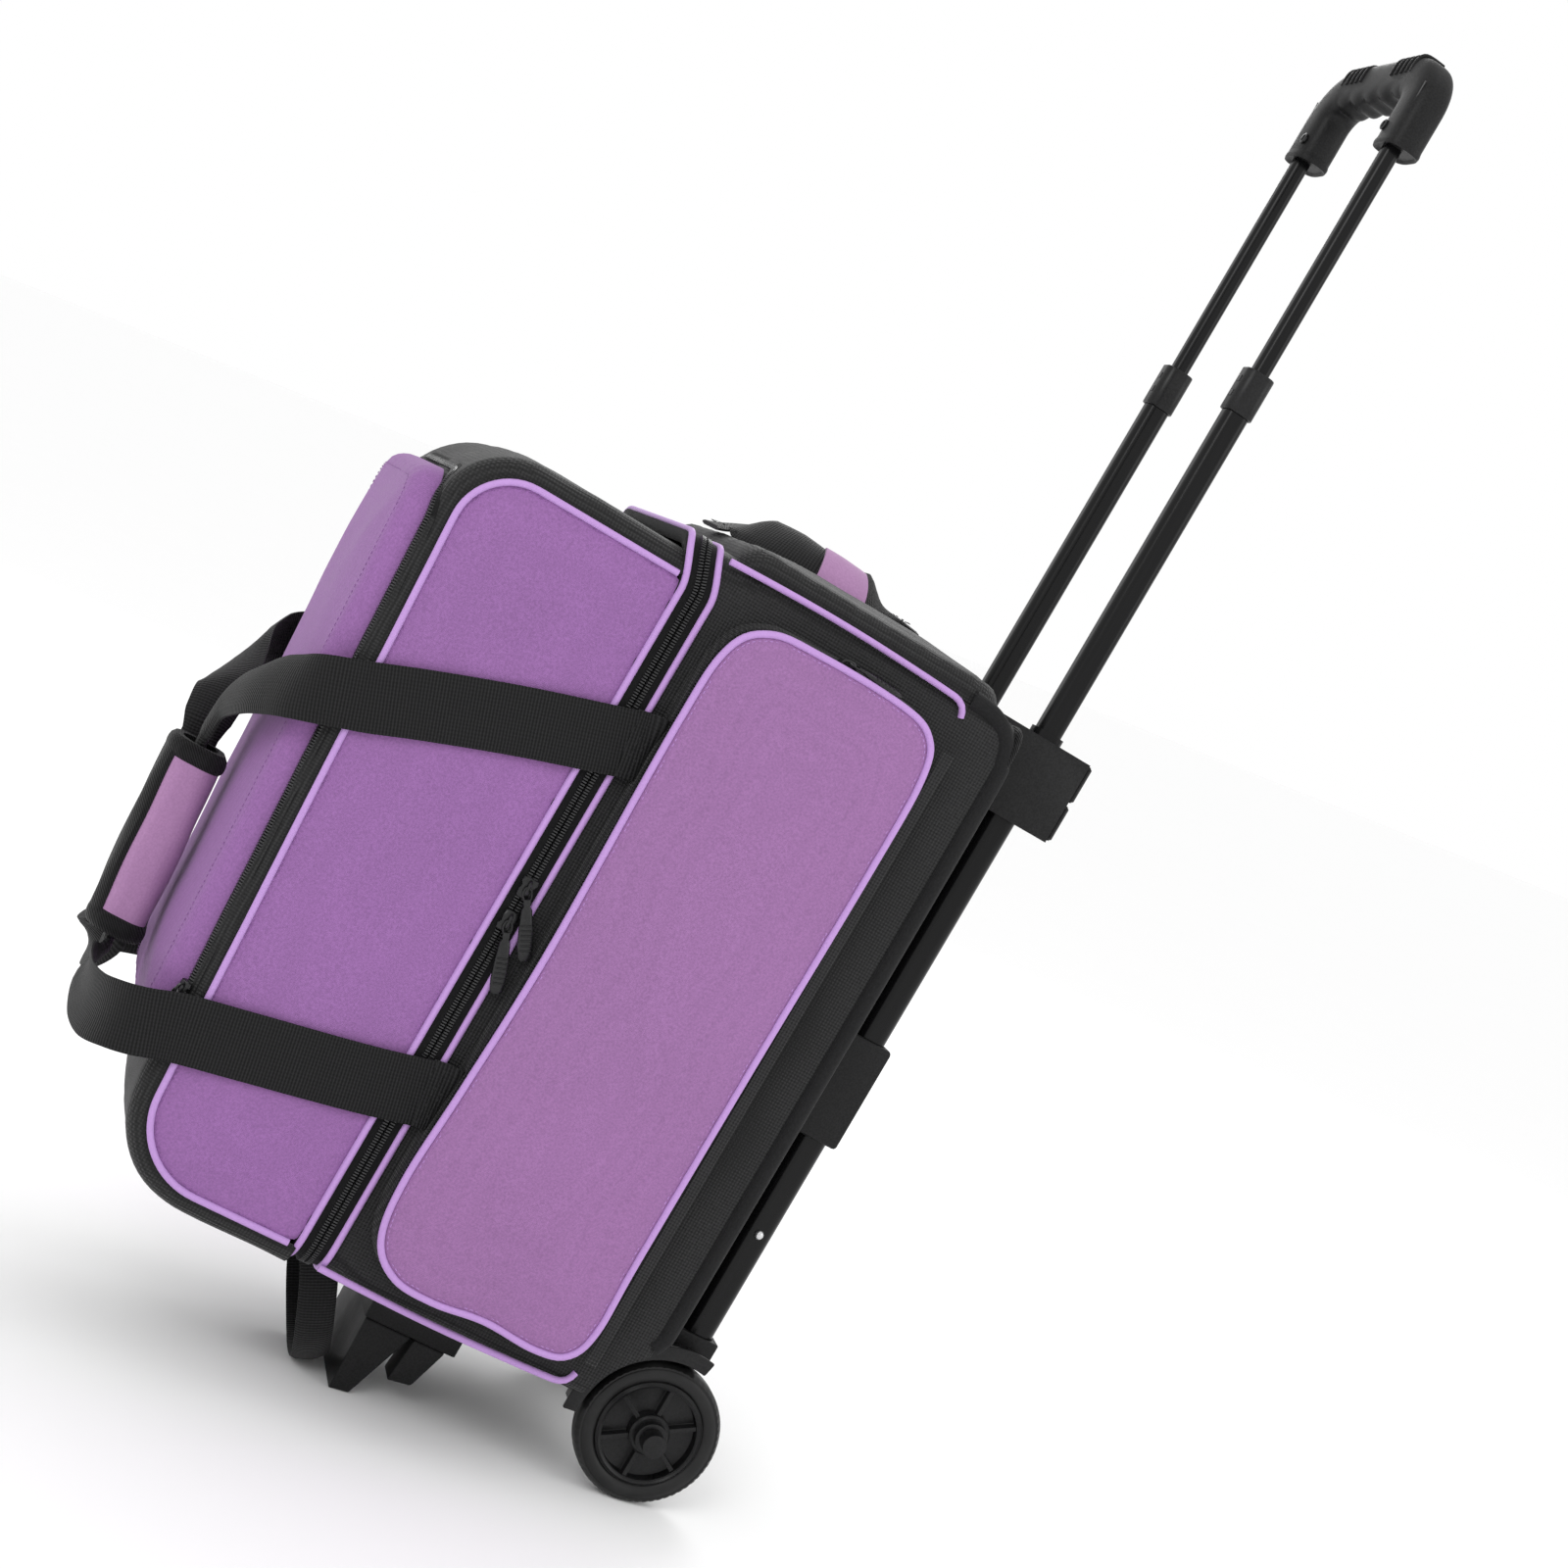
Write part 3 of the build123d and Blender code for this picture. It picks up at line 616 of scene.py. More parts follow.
def distance_inside(points, outline):
    """How far each point lies inside a closed outline; negative outside."""
    a, b = outline, np.roll(outline, -1, 0)
    best = np.full(len(points), 1e9)
    inside = np.zeros(len(points), bool)
    for p, q in zip(a, b):
        d = q - p
        t = np.clip(((points - p) @ d) / (d @ d), 0, 1)
        best = np.minimum(best, np.linalg.norm(points - (p + t[:, None] * d), axis=1))
        crosses = (p[1] > points[:, 1]) != (q[1] > points[:, 1])
        with np.errstate(divide="ignore", invalid="ignore"):
            x = (q[0] - p[0]) * (points[:, 1] - p[1]) / (q[1] - p[1]) + p[0]
        inside ^= crosses & (points[:, 0] < x)
    return np.where(inside, best, -best)


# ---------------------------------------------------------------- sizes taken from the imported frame
tub_low, tub_high = extent("tub_near_side")
wheel_low, wheel_high = extent("tyre_near")

HALF = -tub_low[1]                       # half the bag's width over its cloth
MOUTH_X, BACK_X = tub_low[0], extent("back_board")[1][0]
LOW, HIGH = tub_low[2], tub_high[2]
ZIP_X = MOUTH_X - 11.0                   # where the two halves of the main zip meet
LID_BACK = extent("lid_near_side")[1][0]
CORD = 2.3                               # radius of the lilac piping
WELL_R, WELL_IN = 60.0, 79.0             # the wheel wells, round the axle and out from the middle
END_LEAN, END_RUN = -9.0, 34.0           # how far the top of the mouth leans forward, and over what height
TAPE_POINTS = 220


def smoothstep(t):
    """0 to 1, easing at both ends."""
    t = np.clip(t, 0, 1)
    return t * t * (3 - 2 * t)


# ---------------------------------------------------------------- camera, light and floor
def add_camera():
    """The photo's view: the camera is turned and rolled, as the bag there is tipped further."""
    turn = Matrix.Rotation(math.radians(-16.87), 3, "Z") @ Matrix.Rotation(math.radians(-1.69), 3, "X")
    turn = turn @ Matrix.Rotation(math.radians(-30.36), 3, "Y")
    axes = Matrix((turn.col[0], turn.col[2], -turn.col[1])).transposed()
    place = (Matrix.Rotation(LEAN, 3, "Y") @ axes).to_4x4()
    place.translation = row((-619.0, -1658.9, 470.1))
    camera = add_object("camera", bpy.data.cameras.new("camera"))
    camera.data.lens, camera.data.sensor_width = 57.66, 36.0
    camera.data.clip_start, camera.data.clip_end = 0.05, 900
    camera.matrix_world = place
    bpy.context.scene.camera = camera


def add_light(name, where, target, size, power):
    """A round soft light, aimed at the target."""
    light = bpy.data.lights.new(name, "AREA")
    light.shape, light.size, light.energy = "DISK", size, power
    lamp = add_object(name, light)
    lamp.location = where
    lamp.rotation_euler = (Vector(target) - Vector(where)).to_track_quat("-Z", "Y").to_euler()


def add_stage():
    """White world, pale paper floor and three soft lights."""
    world = bpy.data.worlds.new("studio")
    world.use_nodes = True
    world.node_tree.nodes["Background"].inputs["Color"].default_value = (1, 1, 1, 1)
    world.node_tree.nodes["Background"].inputs["Strength"].default_value = 1.0
    bpy.context.scene.world = world
    bpy.context.scene.view_settings.view_transform = "Standard"
    bpy.context.scene.view_settings.look = "None"
    rings = []
    for radius in (1.0, 4.0, 20.0, 90.0, 400.0):
        angles = around(48)
        rings.append(np.stack([np.cos(angles) * radius, np.sin(angles) * radius, angles * 0], 1))
    points, faces = bridge(rings, caps=(True, False))
    mesh = bpy.data.meshes.new("floor")
    mesh.from_pydata(points.tolist(), [], faces)
    shader = Shader("floor_paper", (0.97, 0.97, 0.97), 0.9, specular=0.1)
    tone = shader.noise(shader.place(), 3.0, 3)
    shader.join(shader.mix(tone, (0.975, 0.975, 0.975), (0.985, 0.985, 0.985)), "Base Color")
    mesh.materials.append(shader.material)
    floor = add_object("floor", mesh)
    floor.location.z = cad_box[0][2] - 0.0002
    middle = (cad_box[0] + cad_box[1]) / 2
    add_light("key", (-1.6, -2.4, 2.3), middle, 1.6, 24)
    add_light("fill", (2.4, -1.8, 1.2), middle, 1.6, 10)
    add_light("rim", (0.8, 2.4, 2.2), middle, 1.4, 22)


add_camera()
add_stage()


# ---------------------------------------------------------------- ball compartment
def face_outwards(mesh):
    """Faces turned to point out of a closed mesh, which the boolean needs."""
    shape = bmesh.new()
    shape.from_mesh(mesh)
    bmesh.ops.recalc_face_normals(shape, faces=shape.faces[:])
    if shape.calc_volume(signed=True) < 0:
        bmesh.ops.reverse_faces(shape, faces=shape.faces[:])
    shape.to_mesh(mesh)
    shape.free()


def carve(piece, cutter_parts):
    """Subtract solids from a piece and apply the result."""
    points, faces = joined(cutter_parts)
    mesh = bpy.data.meshes.new("cutter")
    mesh.from_pydata(to_row(points).tolist(), [], faces)
    for solid in (mesh, piece.data):
        face_outwards(solid)
    cutter = add_object("cutter", mesh)
    change = piece.modifiers.new("cut", "BOOLEAN")
    change.object, change.operation, change.solver = cutter, "DIFFERENCE", "EXACT"
    graph = bpy.context.evaluated_depsgraph_get()
    made = bpy.data.meshes.new_from_object(piece.evaluated_get(graph), depsgraph=graph)
    piece.modifiers.remove(change)
    old, piece.data = piece.data, made
    made.name = old.name
    made.shade_smooth()
    made.set_sharp_from_angle(angle=math.radians(40))
    bpy.data.objects.remove(cutter)
    return piece


def disc_y(x, z, radius, y, sides=64):
    """A circle about an axle along Y."""
    angles = around(sides)
    return np.stack([x + radius * np.cos(angles), np.full(sides, y), z + radius * np.sin(angles)], 1)


def well_cutters():
    """The two drums that cut the wheel wells."""
    return [bridge([disc_y(0, 0, WELL_R, side * WELL_IN), disc_y(0, 0, WELL_R, side * 200)][::side])
            for side in (-1, 1)]


def end_lean(z):
    """How far the mouth leans forward at a height: only near the top end."""
    return END_LEAN * smoothstep((z - (HIGH - END_RUN)) / END_RUN)


def mouth_ring(offset, x, step=6.0):
    """A rounded rectangle round the mouth of the bag, `offset` outside its cloth, as bag points."""
    a = HALF + offset
    outline = rounded_box((-a, LOW - offset), (a, HIGH + offset), 18.0 + offset, step)
    lean = end_lean(outline[:, 1]) * (1 if x < MOUTH_X + 12 else 0.0)
    return np.stack([x + lean, outline[:, 0], outline[:, 1]], 1)


def mouth_loop(offset, x):
    """A ring round the mouth with a set number of points."""
    return evenly_count(mouth_ring(offset, x), TAPE_POINTS)


def tub_ring(x, inset):
    """Outline of the ball compartment at one X: its ends bulge, its sides hardly."""
    t = (x - MOUTH_X) / (BACK_X - MOUTH_X)
    swell = math.sin(math.pi * np.clip(t, 0, 1)) ** 0.6
    near_mouth = 1 - smoothstep(t / 0.14)
    corner = 9.0 + 9.0 * near_mouth - inset * 0.5
    a, low, high = HALF - inset, LOW + inset, HIGH - inset
    outline = rounded_box((-a, low), (a, high), corner, 7.0)
    y, z = outline[:, 0].copy(), outline[:, 1].copy()
    middle, reach = (low + high) / 2, (high - low) / 2
    across = np.clip(1 - (y / a) ** 2, 0, 1)
    along = np.clip(1 - ((z - middle) / reach) ** 2, 0, 1)
    rise = np.where(z > middle, 13.0, -2.5) * swell * across**0.8
    end = np.abs(z - middle) > reach - 9
    z = z + np.where(end, rise, 0)
    y = y + np.sign(y) * np.where(end, 0, 1.6) * swell * along
    points = np.stack([np.full(len(y), x) + end_lean(z) * near_mouth, y, z], 1)
    wobble = ripple(points, 1.1, 0.017, 3.0)[:, None] * swell
    outward = unit(np.stack([y * 0, y / a * (1 - end), np.where(end, np.sign(z - 200), 0)], 1))
    return points + wobble * outward * (0.8 if inset == 0 else 0.3)


def build_tub():
    """The shell round the balls with its wheel wells, and the bound panel on its back."""
    stations = np.r_[np.linspace(MOUTH_X, BACK_X - 14, 26), BACK_X - 9, BACK_X - 6, BACK_X - 4.2]
    draw_in = {len(stations) - 2: 1.5, len(stations) - 1: 4.0}
    count = len(tub_ring(MOUTH_X, 0))
    outer = [evenly_count(tub_ring(x, draw_in.get(i, 0)), count) for i, x in enumerate(stations)]
    inner = [evenly_count(tub_ring(x, 4.0), count) for x in stations[:-2]]
    inner.append(evenly_count(tub_ring(stations[-3], 6.0), count))
    walls = [f"tub_{word}" for word in ("near_side", "far_side", "top_end", "bottom_end")]
    shell = make("tub_shell", *looped(outer + inner[::-1]), "ballistic", "root", walls)
    carve(shell, well_cutters())

    half, low, high = HALF - 1.0, LOW + 1.0, HIGH - 1.0
    notch, step_z = WELL_IN - 2, 56
    corners = [(-notch, low), (notch, low), (notch, step_z), (half, step_z), (half, high), (-half, high),
               (-half, step_z), (-notch, step_z)]
    outline = rounded_outline(corners, [6, 6, 5, 8, 14, 14, 8, 5], 6)
    place = lambda a, b, h: (BACK_X - 1.5 + h, a, b)
    make("back_panel", *panel(outline, 0.9, 0.9, place, pucker=0.0, sag=0.25, seed=2, step=12, back=3.0),
         "ballistic", "root", "back_board")
    binding = round_cord([place(a, b, 0.2) for a, b in outline], 2.6, closed=True)
    make("back_binding", *binding, "web", "root", web=web_of(binding[0]))


def web_of(points):
    """Webbing coordinates for a piece whose length runs along the bag: Z along, Y across."""
    points = np.asarray(points)
    return np.stack([points[:, 1], points[:, 2] + points[:, 0], points[:, 0]], 1)


def build_side_pipings():
    """Piping along the four edges between the sides and the ends, turned in at the back."""
    cords = []
    for side in (-1, 1):
        for z, rise in ((LOW + 3, -2.0), (HIGH - 3, 2.5)):
            xs = np.linspace(MOUTH_X - 3, -86, 6)
            bow = np.sin(np.linspace(0, math.pi, 6)) * rise
            turn = math.copysign(1, z - (LOW + HIGH) / 2)
            line = [(x, side * (HALF + 1.4), z + b) for x, b in zip(xs, bow)]
            line += [(-80, side * (HALF + 1.4), z - turn), (-75, side * (HALF + 1.2), z - turn * 4.5),
                     (-72.5, side * (HALF + 0.2), z - turn * 10)]
            cords.append(round_cord(smooth_line(line, 4), CORD))
    make("tub_end_cords", *joined(cords), "piping", "root", "tub_side_pipings")


def build_inside():
    """The two hollowed pads that hold the balls, and the divider between them."""
    low, high = extent("ball_cradles")
    middle_x, radius = -147.0, 109.0
    parts = []
    middle = (low[2] + high[2]) / 2
    for z_low, z_high in ((low[2], middle - 8), (middle + 8, high[2])):
        outline = rounded_box((-100, z_low), (100, z_high), 14, 8)
        centre = (z_low + z_high) / 2

        def place(a, b, h, centre=centre):
            """The pad's face, hollowed for a ball."""
            from_ball = radius**2 - a**2 - (b - centre) ** 2
            dish = middle_x + (math.sqrt(from_ball) if from_ball > 0 else 0)
            return (min(low[0] + 6, 0) - h * 0.3 if dish < low[0] + 6 else dish + 1.0, a, b)

        points, faces = panel(outline, 3, 3, place, pucker=0, sag=0, step=9, back=0)
        points[-len(outline):, 0] = high[0]
        parts.append((points, faces))
    pad = make("cradle_pads", *joined(parts), "lining", "root", "ball_cradles", "foam")
    low, high = extent("ball_divider")
    outline = rounded_box((low[0], low[1] + 1), (high[0], high[1] - 1), [12, 3, 3, 12], 7)
    middle = (low[2] + high[2]) / 2
    halves = []
    for side in (-1, 1):
        place = lambda a, b, h, side=side: (a, b, middle + side * h)
        halves.append(panel(outline, 3.4, 2.6, place, pucker=0.2, sag=0.3, step=12))
    divider = make("divider_pad", *joined(halves), "lining", "root", "ball_divider", "foam")


# ---------------------------------------------------------------- zips
COIL_PITCH = 1.9


def teeth(path, outward, half=1.6, proud=0.9, lean=0.0, beyond=None):
    """Coil teeth along a closed path: small bars across it, proud along `outward`, none past Y `beyond`."""
    lengths = arc_lengths(path)
    count = int(lengths[-1] / COIL_PITCH)
    at = (np.arange(count) + 0.5) * lengths[-1] / count
    centre, out = sample(at, lengths, path), unit(sample(at, lengths, outward))
    along = tangents(centre, False)
    across = np.cross(along, out)
    w = COIL_PITCH * 0.36
    foot = [(-half, -w), (-half, w), (half, w), (half, -w)]
    shape = [(a, b, -proud) for a, b in foot] + [(a * 0.7, b * 0.6, proud) for a, b in foot]
    quads = [[0, 1, 2, 3], [4, 7, 6, 5], [0, 4, 5, 1], [1, 5, 6, 2], [2, 6, 7, 3], [3, 7, 4, 0]]
    points, faces = [], []
    for c, o, t, n in zip(centre, out, along, across):
        if beyond is not None and c[1] > beyond:
            continue
        faces += [[len(points) + k for k in quad] for quad in quads]
        points += [c + a * n + b * (t + lean * n) + h * o for a, b, h in shape]
    return np.array(points), faces


def ring_out(path):
    """Direction out of a closed ring round the bag's mouth, square to it and to X."""
    out = unit(np.cross(tangents(path, True), (1.0, 0.0, 0.0)))
    middle = path.mean(0)
    return out * np.sign(((path - middle) * out).sum(1, keepdims=True))


def inside_fold(ring, depth):
    """Rings round the mouth stay within the fold line on the far side, so that the lid can swing."""
    ring = ring.copy()
    ring[:, 1] = np.minimum(ring[:, 1], HALF - depth)
    return ring


def tape_band(stations, offsets):
    """A tape that runs round the mouth: rings at X stations, with its own thickness."""
    fold, thick = 0.4, 1.0
    places = list(zip(offsets, stations))
    outer = [inside_fold(mouth_loop(offset, x), fold) for offset, x in places]
    inner = [inside_fold(mouth_loop(offset - thick, x), fold + thick) for offset, x in places]
    return looped(outer + inner[::-1])


def build_main_zip():
    """Two tapes with coils that meet at ZIP_X, and a lilac cord along each."""
    for word, body, away in (("tub", "root", 1), ("lid", "lid", -1)):
        edge = ZIP_X + away * 0.3
        stations = [edge, edge + away * 2.6, edge + away * 3.4, edge + away * 10.5]
        tape = tape_band(stations, [0.6, 1.2, 2.0, 1.4])
        make(f"{word}_zip_cloth", *tape, "tape", body, f"{word}_zip_tape")
        path = mouth_ring(1.9, ZIP_X + away * 2.2, step=3)
        coil = teeth(shut(path), shut(ring_out(path)), half=2.1, proud=1.2, lean=away * 0.25,
                     beyond=HALF - 3)
        make(f"{word}_zip_coil", *coil, "coil", body)
        cord_path = mouth_ring(1.6, ZIP_X + away * 10.6, step=4)
        cord = round_cord(cord_path, CORD, closed=True)
        make(f"{word}_mouth_cord", *cord, "piping", body)


# ---------------------------------------------------------------- side pockets
POCKET_SHAPE = [
    (-236, 260), (-238.5, 420), (-235, 478), (-216, 500), (-180, 504.5), (-120, 504), (-92, 496), (-81, 470),
    (-79.5, 400), (-81, 250), (-81.5, 110), (-81, 56), (-90, 34), (-112, 28.5), (-150, 31), (-186, 27.5),
    (-216, 31), (-236, 50), (-242, 90), (-239, 160),
]

POCKET_FACE = 140.6                      # how far out the doors' cloth starts


def build_pocket(side, word):
    """One side pocket: its wall with the zip, and its door."""
    outline = smooth_line(POCKET_SHAPE, 4, closed=True)
    if turning(outline) < 0:
        outline = outline[::-1]
    along = tangents(outline, True)
    out = np.stack([along[:, 1], -along[:, 0]], 1)
    seed = 11.0 if side < 0 else 19.0
    build_pocket_wall(side, word, outline, out, seed)
    build_pocket_door(side, word, outline, out, seed)


def build_pocket_wall(side, word, outline, out, seed):
    """The gusset that stands out from the bag's side, and the zip round its rim."""
    levels = [(4.5, HALF - 0.6), (4.2, HALF + 2), (2.6, HALF + 8), (1.6, HALF + 11)]
    zip_levels = [(1.6, HALF + 11), (0.9, HALF + 12.2), (0.3, HALF + 16.4), (-1.8, HALF + 17.2)]
    sag = ripple(np.c_[outline, outline[:, 0] * 0], 0.7, 0.02, seed)

    def wall(rings):
        made = []
        for push, y in rings:
            flat = outline + out * (push + sag)[:, None]
            made.append(np.stack([flat[:, 0], np.full(len(flat), side * y), flat[:, 1]], 1))
        return made

    inner = [(push - 2.0, y) for push, y in levels[::-1]]
    make(f"{word}_pocket_wall", *looped(wall(levels + inner)), "ballistic", "root",
         f"{word}_pocket_gusset")
    tape = zip_levels + [(push - 1.2, y) for push, y in zip_levels[::-1]]
    make(f"{word}_pocket_tape", *looped(wall(tape)), "tape", "root")
    flat = outline + out * (1.2 + sag)[:, None]
    path = np.stack([flat[:, 0], np.full(len(flat), side * (HALF + 14.4)), flat[:, 1]], 1)
    outward = np.stack([out[:, 0], np.full(len(out), side * 0.2), out[:, 1]], 1)
    coil = teeth(shut(path), shut(outward), half=2.1, proud=0.8)
    make(f"{word}_pocket_coil", *coil, "coil", "root")


def build_pocket_door(side, word, outline, out, seed):
    """The padded door with its piping and a row of stitches inside it."""
    place = lambda a, b, h: (a, side * (POCKET_FACE + h), b)
    body = f"{word}_door"
    inset = outline - out * 1.2
    points, faces = panel(inset, 8.0, 3.4, place, pucker=0.3, sag=1.1, seed=seed, back=1.0)
    door = make(f"{word}_pocket_panel", points, faces, "lilac", body, f"{word}_pocket_door")
    cord = [place(a, b, 1.2) for a, b in outline]
    make(f"{word}_pocket_cord", *round_cord(cord, CORD + 0.1, closed=True), "piping", body,
         f"{word}_pocket_piping")
    stitch = stitches([place(a, b, 2.05) for a, b in outline - out * 4.2], (0, side, 0))
    make(f"{word}_pocket_stitches", *stitch, "piping", body)


def stitches(path, out, loop=True):
    """A row of sewn stitches lying on a surface: short thread ends, each a small pointed prism."""
    length, gap, radius = 2.6, 1.2, 0.28
    path = np.asarray(path, float)
    if loop:
        path = shut(path)
    lengths = arc_lengths(path)
    count = int(lengths[-1] / (length + gap))
    out = np.array(out, float)
    points, faces = [], []
    for k in range(count):
        at = (k + 0.5) * lengths[-1] / count
        spots = sample([at + length * d for d in (-0.5, -0.25, 0.25, 0.5)], lengths, path)
        along = unit(spots[-1] - spots[0])
        across = np.cross(along, out)
        start = len(points)
        points.append(spots[0])
        for s in spots[1:3]:
            points += [s + push * radius for push in (across, out, -across, -out)]
        points.append(spots[3])
        for j in range(4):
            n = (j + 1) % 4
            faces += [[start, start + 1 + n, start + 1 + j],
                      [start + 1 + j, start + 1 + n, start + 5 + n, start + 5 + j],
                      [start + 9, start + 5 + j, start + 5 + n]]
    return np.array(points), faces


build_tub()
build_side_pipings()
build_inside()
build_main_zip()
build_pocket(-1, "near")
build_pocket(1, "far")


# ---------------------------------------------------------------- lid and front flap
LID_TOP_FRONT, LID_LOW_FRONT = (-436.0, 517.0), (-409.0, 4.0)
LID_ROUND, LID_FLAT = 13.0, HALF - 13.0       # the lid's sides round off over this much
lid_path = rounded_outline(
    [(LID_BACK, LID_TOP_FRONT[1]), LID_TOP_FRONT, LID_LOW_FRONT, (LID_BACK, LID_LOW_FRONT[1])],
    [0, 50, 64, 0], 6, closed=False,
)
lid_along = tangents(lid_path, False)
lid_out = np.stack([lid_along[:, 1], -lid_along[:, 0]], 1)
UP = np.array([LID_TOP_FRONT[0] - LID_LOW_FRONT[0], LID_TOP_FRONT[1] - LID_LOW_FRONT[1]])
UP = UP / np.linalg.norm(UP)
FORWARD = np.array([-UP[1], UP[0]])
FLAP_HALF, FLAP_HIGH, FLAP_Z = 112.0, 202.0, 285.0
flap_at = np.array([LID_LOW_FRONT[0] + UP[0] / UP[1] * (FLAP_Z - LID_LOW_FRONT[1]), FLAP_Z])
lid_b = -arc_lengths(lid_path)
lid_b -= lid_b[np.argmin(np.linalg.norm(lid_path - flap_at, axis=1))]


def on_lid(a, b, h=0.0):
    """Bag point on the lid's band: a across the bag, b along the band from the flap's middle, h proud."""
    base, out = (sample([b], lid_b[::-1], line[::-1])[0] for line in (lid_path, lid_out))
    lean = np.clip((abs(a) - LID_FLAT) / LID_ROUND, 0, 0.999)
    rise = math.sqrt(1 - lean * lean)
    end_swell = 3.0 * max(0.0, 1 - (a / HALF) ** 2) * smoothstep((abs(b) - 215) / 60)
    place = base + out * (LID_ROUND * (rise - 1) + h * rise + end_swell)
    return np.array([place[0], a + math.copysign(h * lean, a), place[1]])


def lid_normal(a, b):
    """Direction out of the lid's band at a place on it."""
    return unit(on_lid(a, b, 1.0) - on_lid(a, b, 0.0))


def on_flap(a, b, h=0.0):
    """Bag point on the flap's plane: a across, b up from its middle, h proud."""
    place = flap_at + UP * b + FORWARD * (1.2 + h)
    return np.array([place[0], a, place[1]])


def build_lid_band():
    """The cloth over the lid's front and ends, open where the flap is."""
    ys = np.r_[-HALF, -121, -119, -116, -112.5, -LID_FLAT]
    ys = np.r_[ys, np.linspace(-100, 100, 13), -ys[::-1]]
    slack = lambda y, b: 0.35 * noise.noise(Vector((y, b, 3)) * 0.03) * 3
    grid = np.array([[on_lid(y, b, slack(y, b)) for y in ys] for b in lid_b])
    rows, cols = grid.shape[:2]
    faces = []
    for i in range(rows - 1):
        for j in range(cols - 1):
            middle_y, middle_b = (ys[j] + ys[j + 1]) / 2, (lid_b[i] + lid_b[i + 1]) / 2
            if abs(middle_y) < 100 and abs(middle_b) < 184:
                continue
            a = i * cols + j
            faces.append([a, a + 1, a + cols + 1, a + cols])
    band = make("lid_band", grid.reshape(-1, 3), faces, "ballistic", "lid", "lid_gusset")
    thicken(band, 3.0)


def build_lid_sides():
    """Padded side panels with their seams, and the piping round them."""
    inset = lid_path - lid_out * LID_ROUND
    inset[:, 1] = np.clip(inset[:, 1], LID_LOW_FRONT[1] + LID_ROUND - 4, 508)
    inset[0, 0] = inset[-1, 0] = LID_BACK + 1
    for side, word in ((-1, "near"), (1, "far")):
        back_edge = evenly([(LID_BACK + 1, inset[-1, 1]), (LID_BACK + 1, inset[0, 1])], 6)[1:-1]
        outline = relaxed(np.vstack([inset, back_edge])[::-1], 5)
        place = lambda a, b, h, side=side: (a, side * (HALF - 0.4 + h), b)
        points, faces = panel(outline, 4.0, 1.8, place, pucker=0.3, sag=0.8, seed=30 + side, back=2.0)
        cloth = make(f"lid_{word}_panel", points, faces, "lilac_lid", "lid", f"lid_{word}_side")
        seam_line = [place(a, b, 1.25) for a, b in inset - lid_out * 3.6]
        sewn = stitches(seam_line, (0, side, 0), loop=False)
        make(f"lid_{word}_stitches", *sewn, "lilac_lid", "lid")
    cords = [round_cord([(a, side * (HALF + 1.1), b) for a, b in inset[1:-1]], CORD) for side in (-1, 1)]
    make("lid_side_cords", *joined(cords), "piping", "lid", "lid_side_pipings")


def build_lid_inside():
    """The pad between the balls and the front compartment, and a lip round the lid's mouth."""
    half = HALF - 7
    outline = rounded_box((-half, 16), (half, 504), 22, 7)
    place = lambda a, b, h: (LID_BACK - 2.6 + h, a, b)
    points, faces = panel(outline, 2.4, 1.8, place, pucker=0.25, sag=0.4, seed=8, step=12, back=1.5)
    pad = make("lid_inner_pad", points, faces, "lining", "lid", "lid_partition")
    lip = bridge([mouth_loop(offset, LID_BACK - 1.6) for offset in (0.5, -8.0)], caps=(False, False))
    thicken(make("lid_inner_lip", *lip, "lining", "lid"), 1.2)


def thicken(piece, thickness_mm):
    """Cloth of a set thickness, half of it to each side of the surface that was drawn."""
    wall = piece.modifiers.new("cloth", "SOLIDIFY")
    wall.thickness, wall.offset, wall.use_even_offset = thickness_mm / 1000, 0.0, False
    return piece


def flap_ring(offset, step=4.0):
    """Outline of the flap's opening, in its own plane."""
    a, b = FLAP_HALF + offset, FLAP_HIGH + offset
    return rounded_box((-a, -b), (a, b), 35 + offset, step)


def build_flap():
    """The padded front flap with its stitched ridge, and both halves of its zip."""
    outline = flap_ring(-0.5)
    points, faces = panel(outline, 24.5, 16.5, on_flap, pucker=0.45, sag=1.2, seed=51, back=0.8)
    cloth = make("flap_panel", points, faces, "lilac_lid", "flap", "front_flap")
    ridge = stitches([on_flap(a, b, 17.4) for a, b in flap_ring(-13.5)], (-1, 0, 0))
    make("flap_ridge_stitches", *ridge, "lilac_lid", "flap")
    for body, node, near, far, coil_at in (("flap", None, -1.5, 1.9, 1.6),
                                           ("lid", "front_zip_tape", 3.0, 7.6, 3.3)):
        rings = []
        for offset, h in ((near, 1.6), (far, 1.6), (far, 0.4), (near, 0.4)):
            ring = evenly_count(flap_ring(offset), 260)
            rings.append(np.array([on_lid(a, b, h) for a, b in ring]))
        make(f"front_zip_{body}_tape", *looped(rings), "tape", body, node)
        line = flap_ring(coil_at, 3)
        path = np.array([on_lid(a, b, 1.9) for a, b in line])
        out = np.array([lid_normal(a, b) for a, b in line])
        make(f"front_zip_{body}_coil", *teeth(shut(path), shut(out)), "coil", body)


def build_hinge_cloths():
    """Cloth that crosses the fold lines of the lid and the pocket doors."""
    def strip(name, back_x, front_x, y, low, high):
        rows = []
        for x in back_x + (front_x - back_x) * np.linspace(0, 1, 13):
            rows.append(np.array([(x, y + 0.15 * math.sin(z / 9.0), z) for z in np.linspace(low, high, 30)]))
        points, faces = bridge(rows, closed=False, caps=(False, False))
        piece = make(name, points, faces, "ballistic", None)
        thicken(piece, 1.0)
        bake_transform(piece)

    strip("lid_fold_cloth", -252, -279, 121.2, 30, 505)
    for side, word in ((-1, "near"), (1, "far")):
        strip(f"{word}_pocket_fold", -69, -77, side * 139.4, 34, 492)


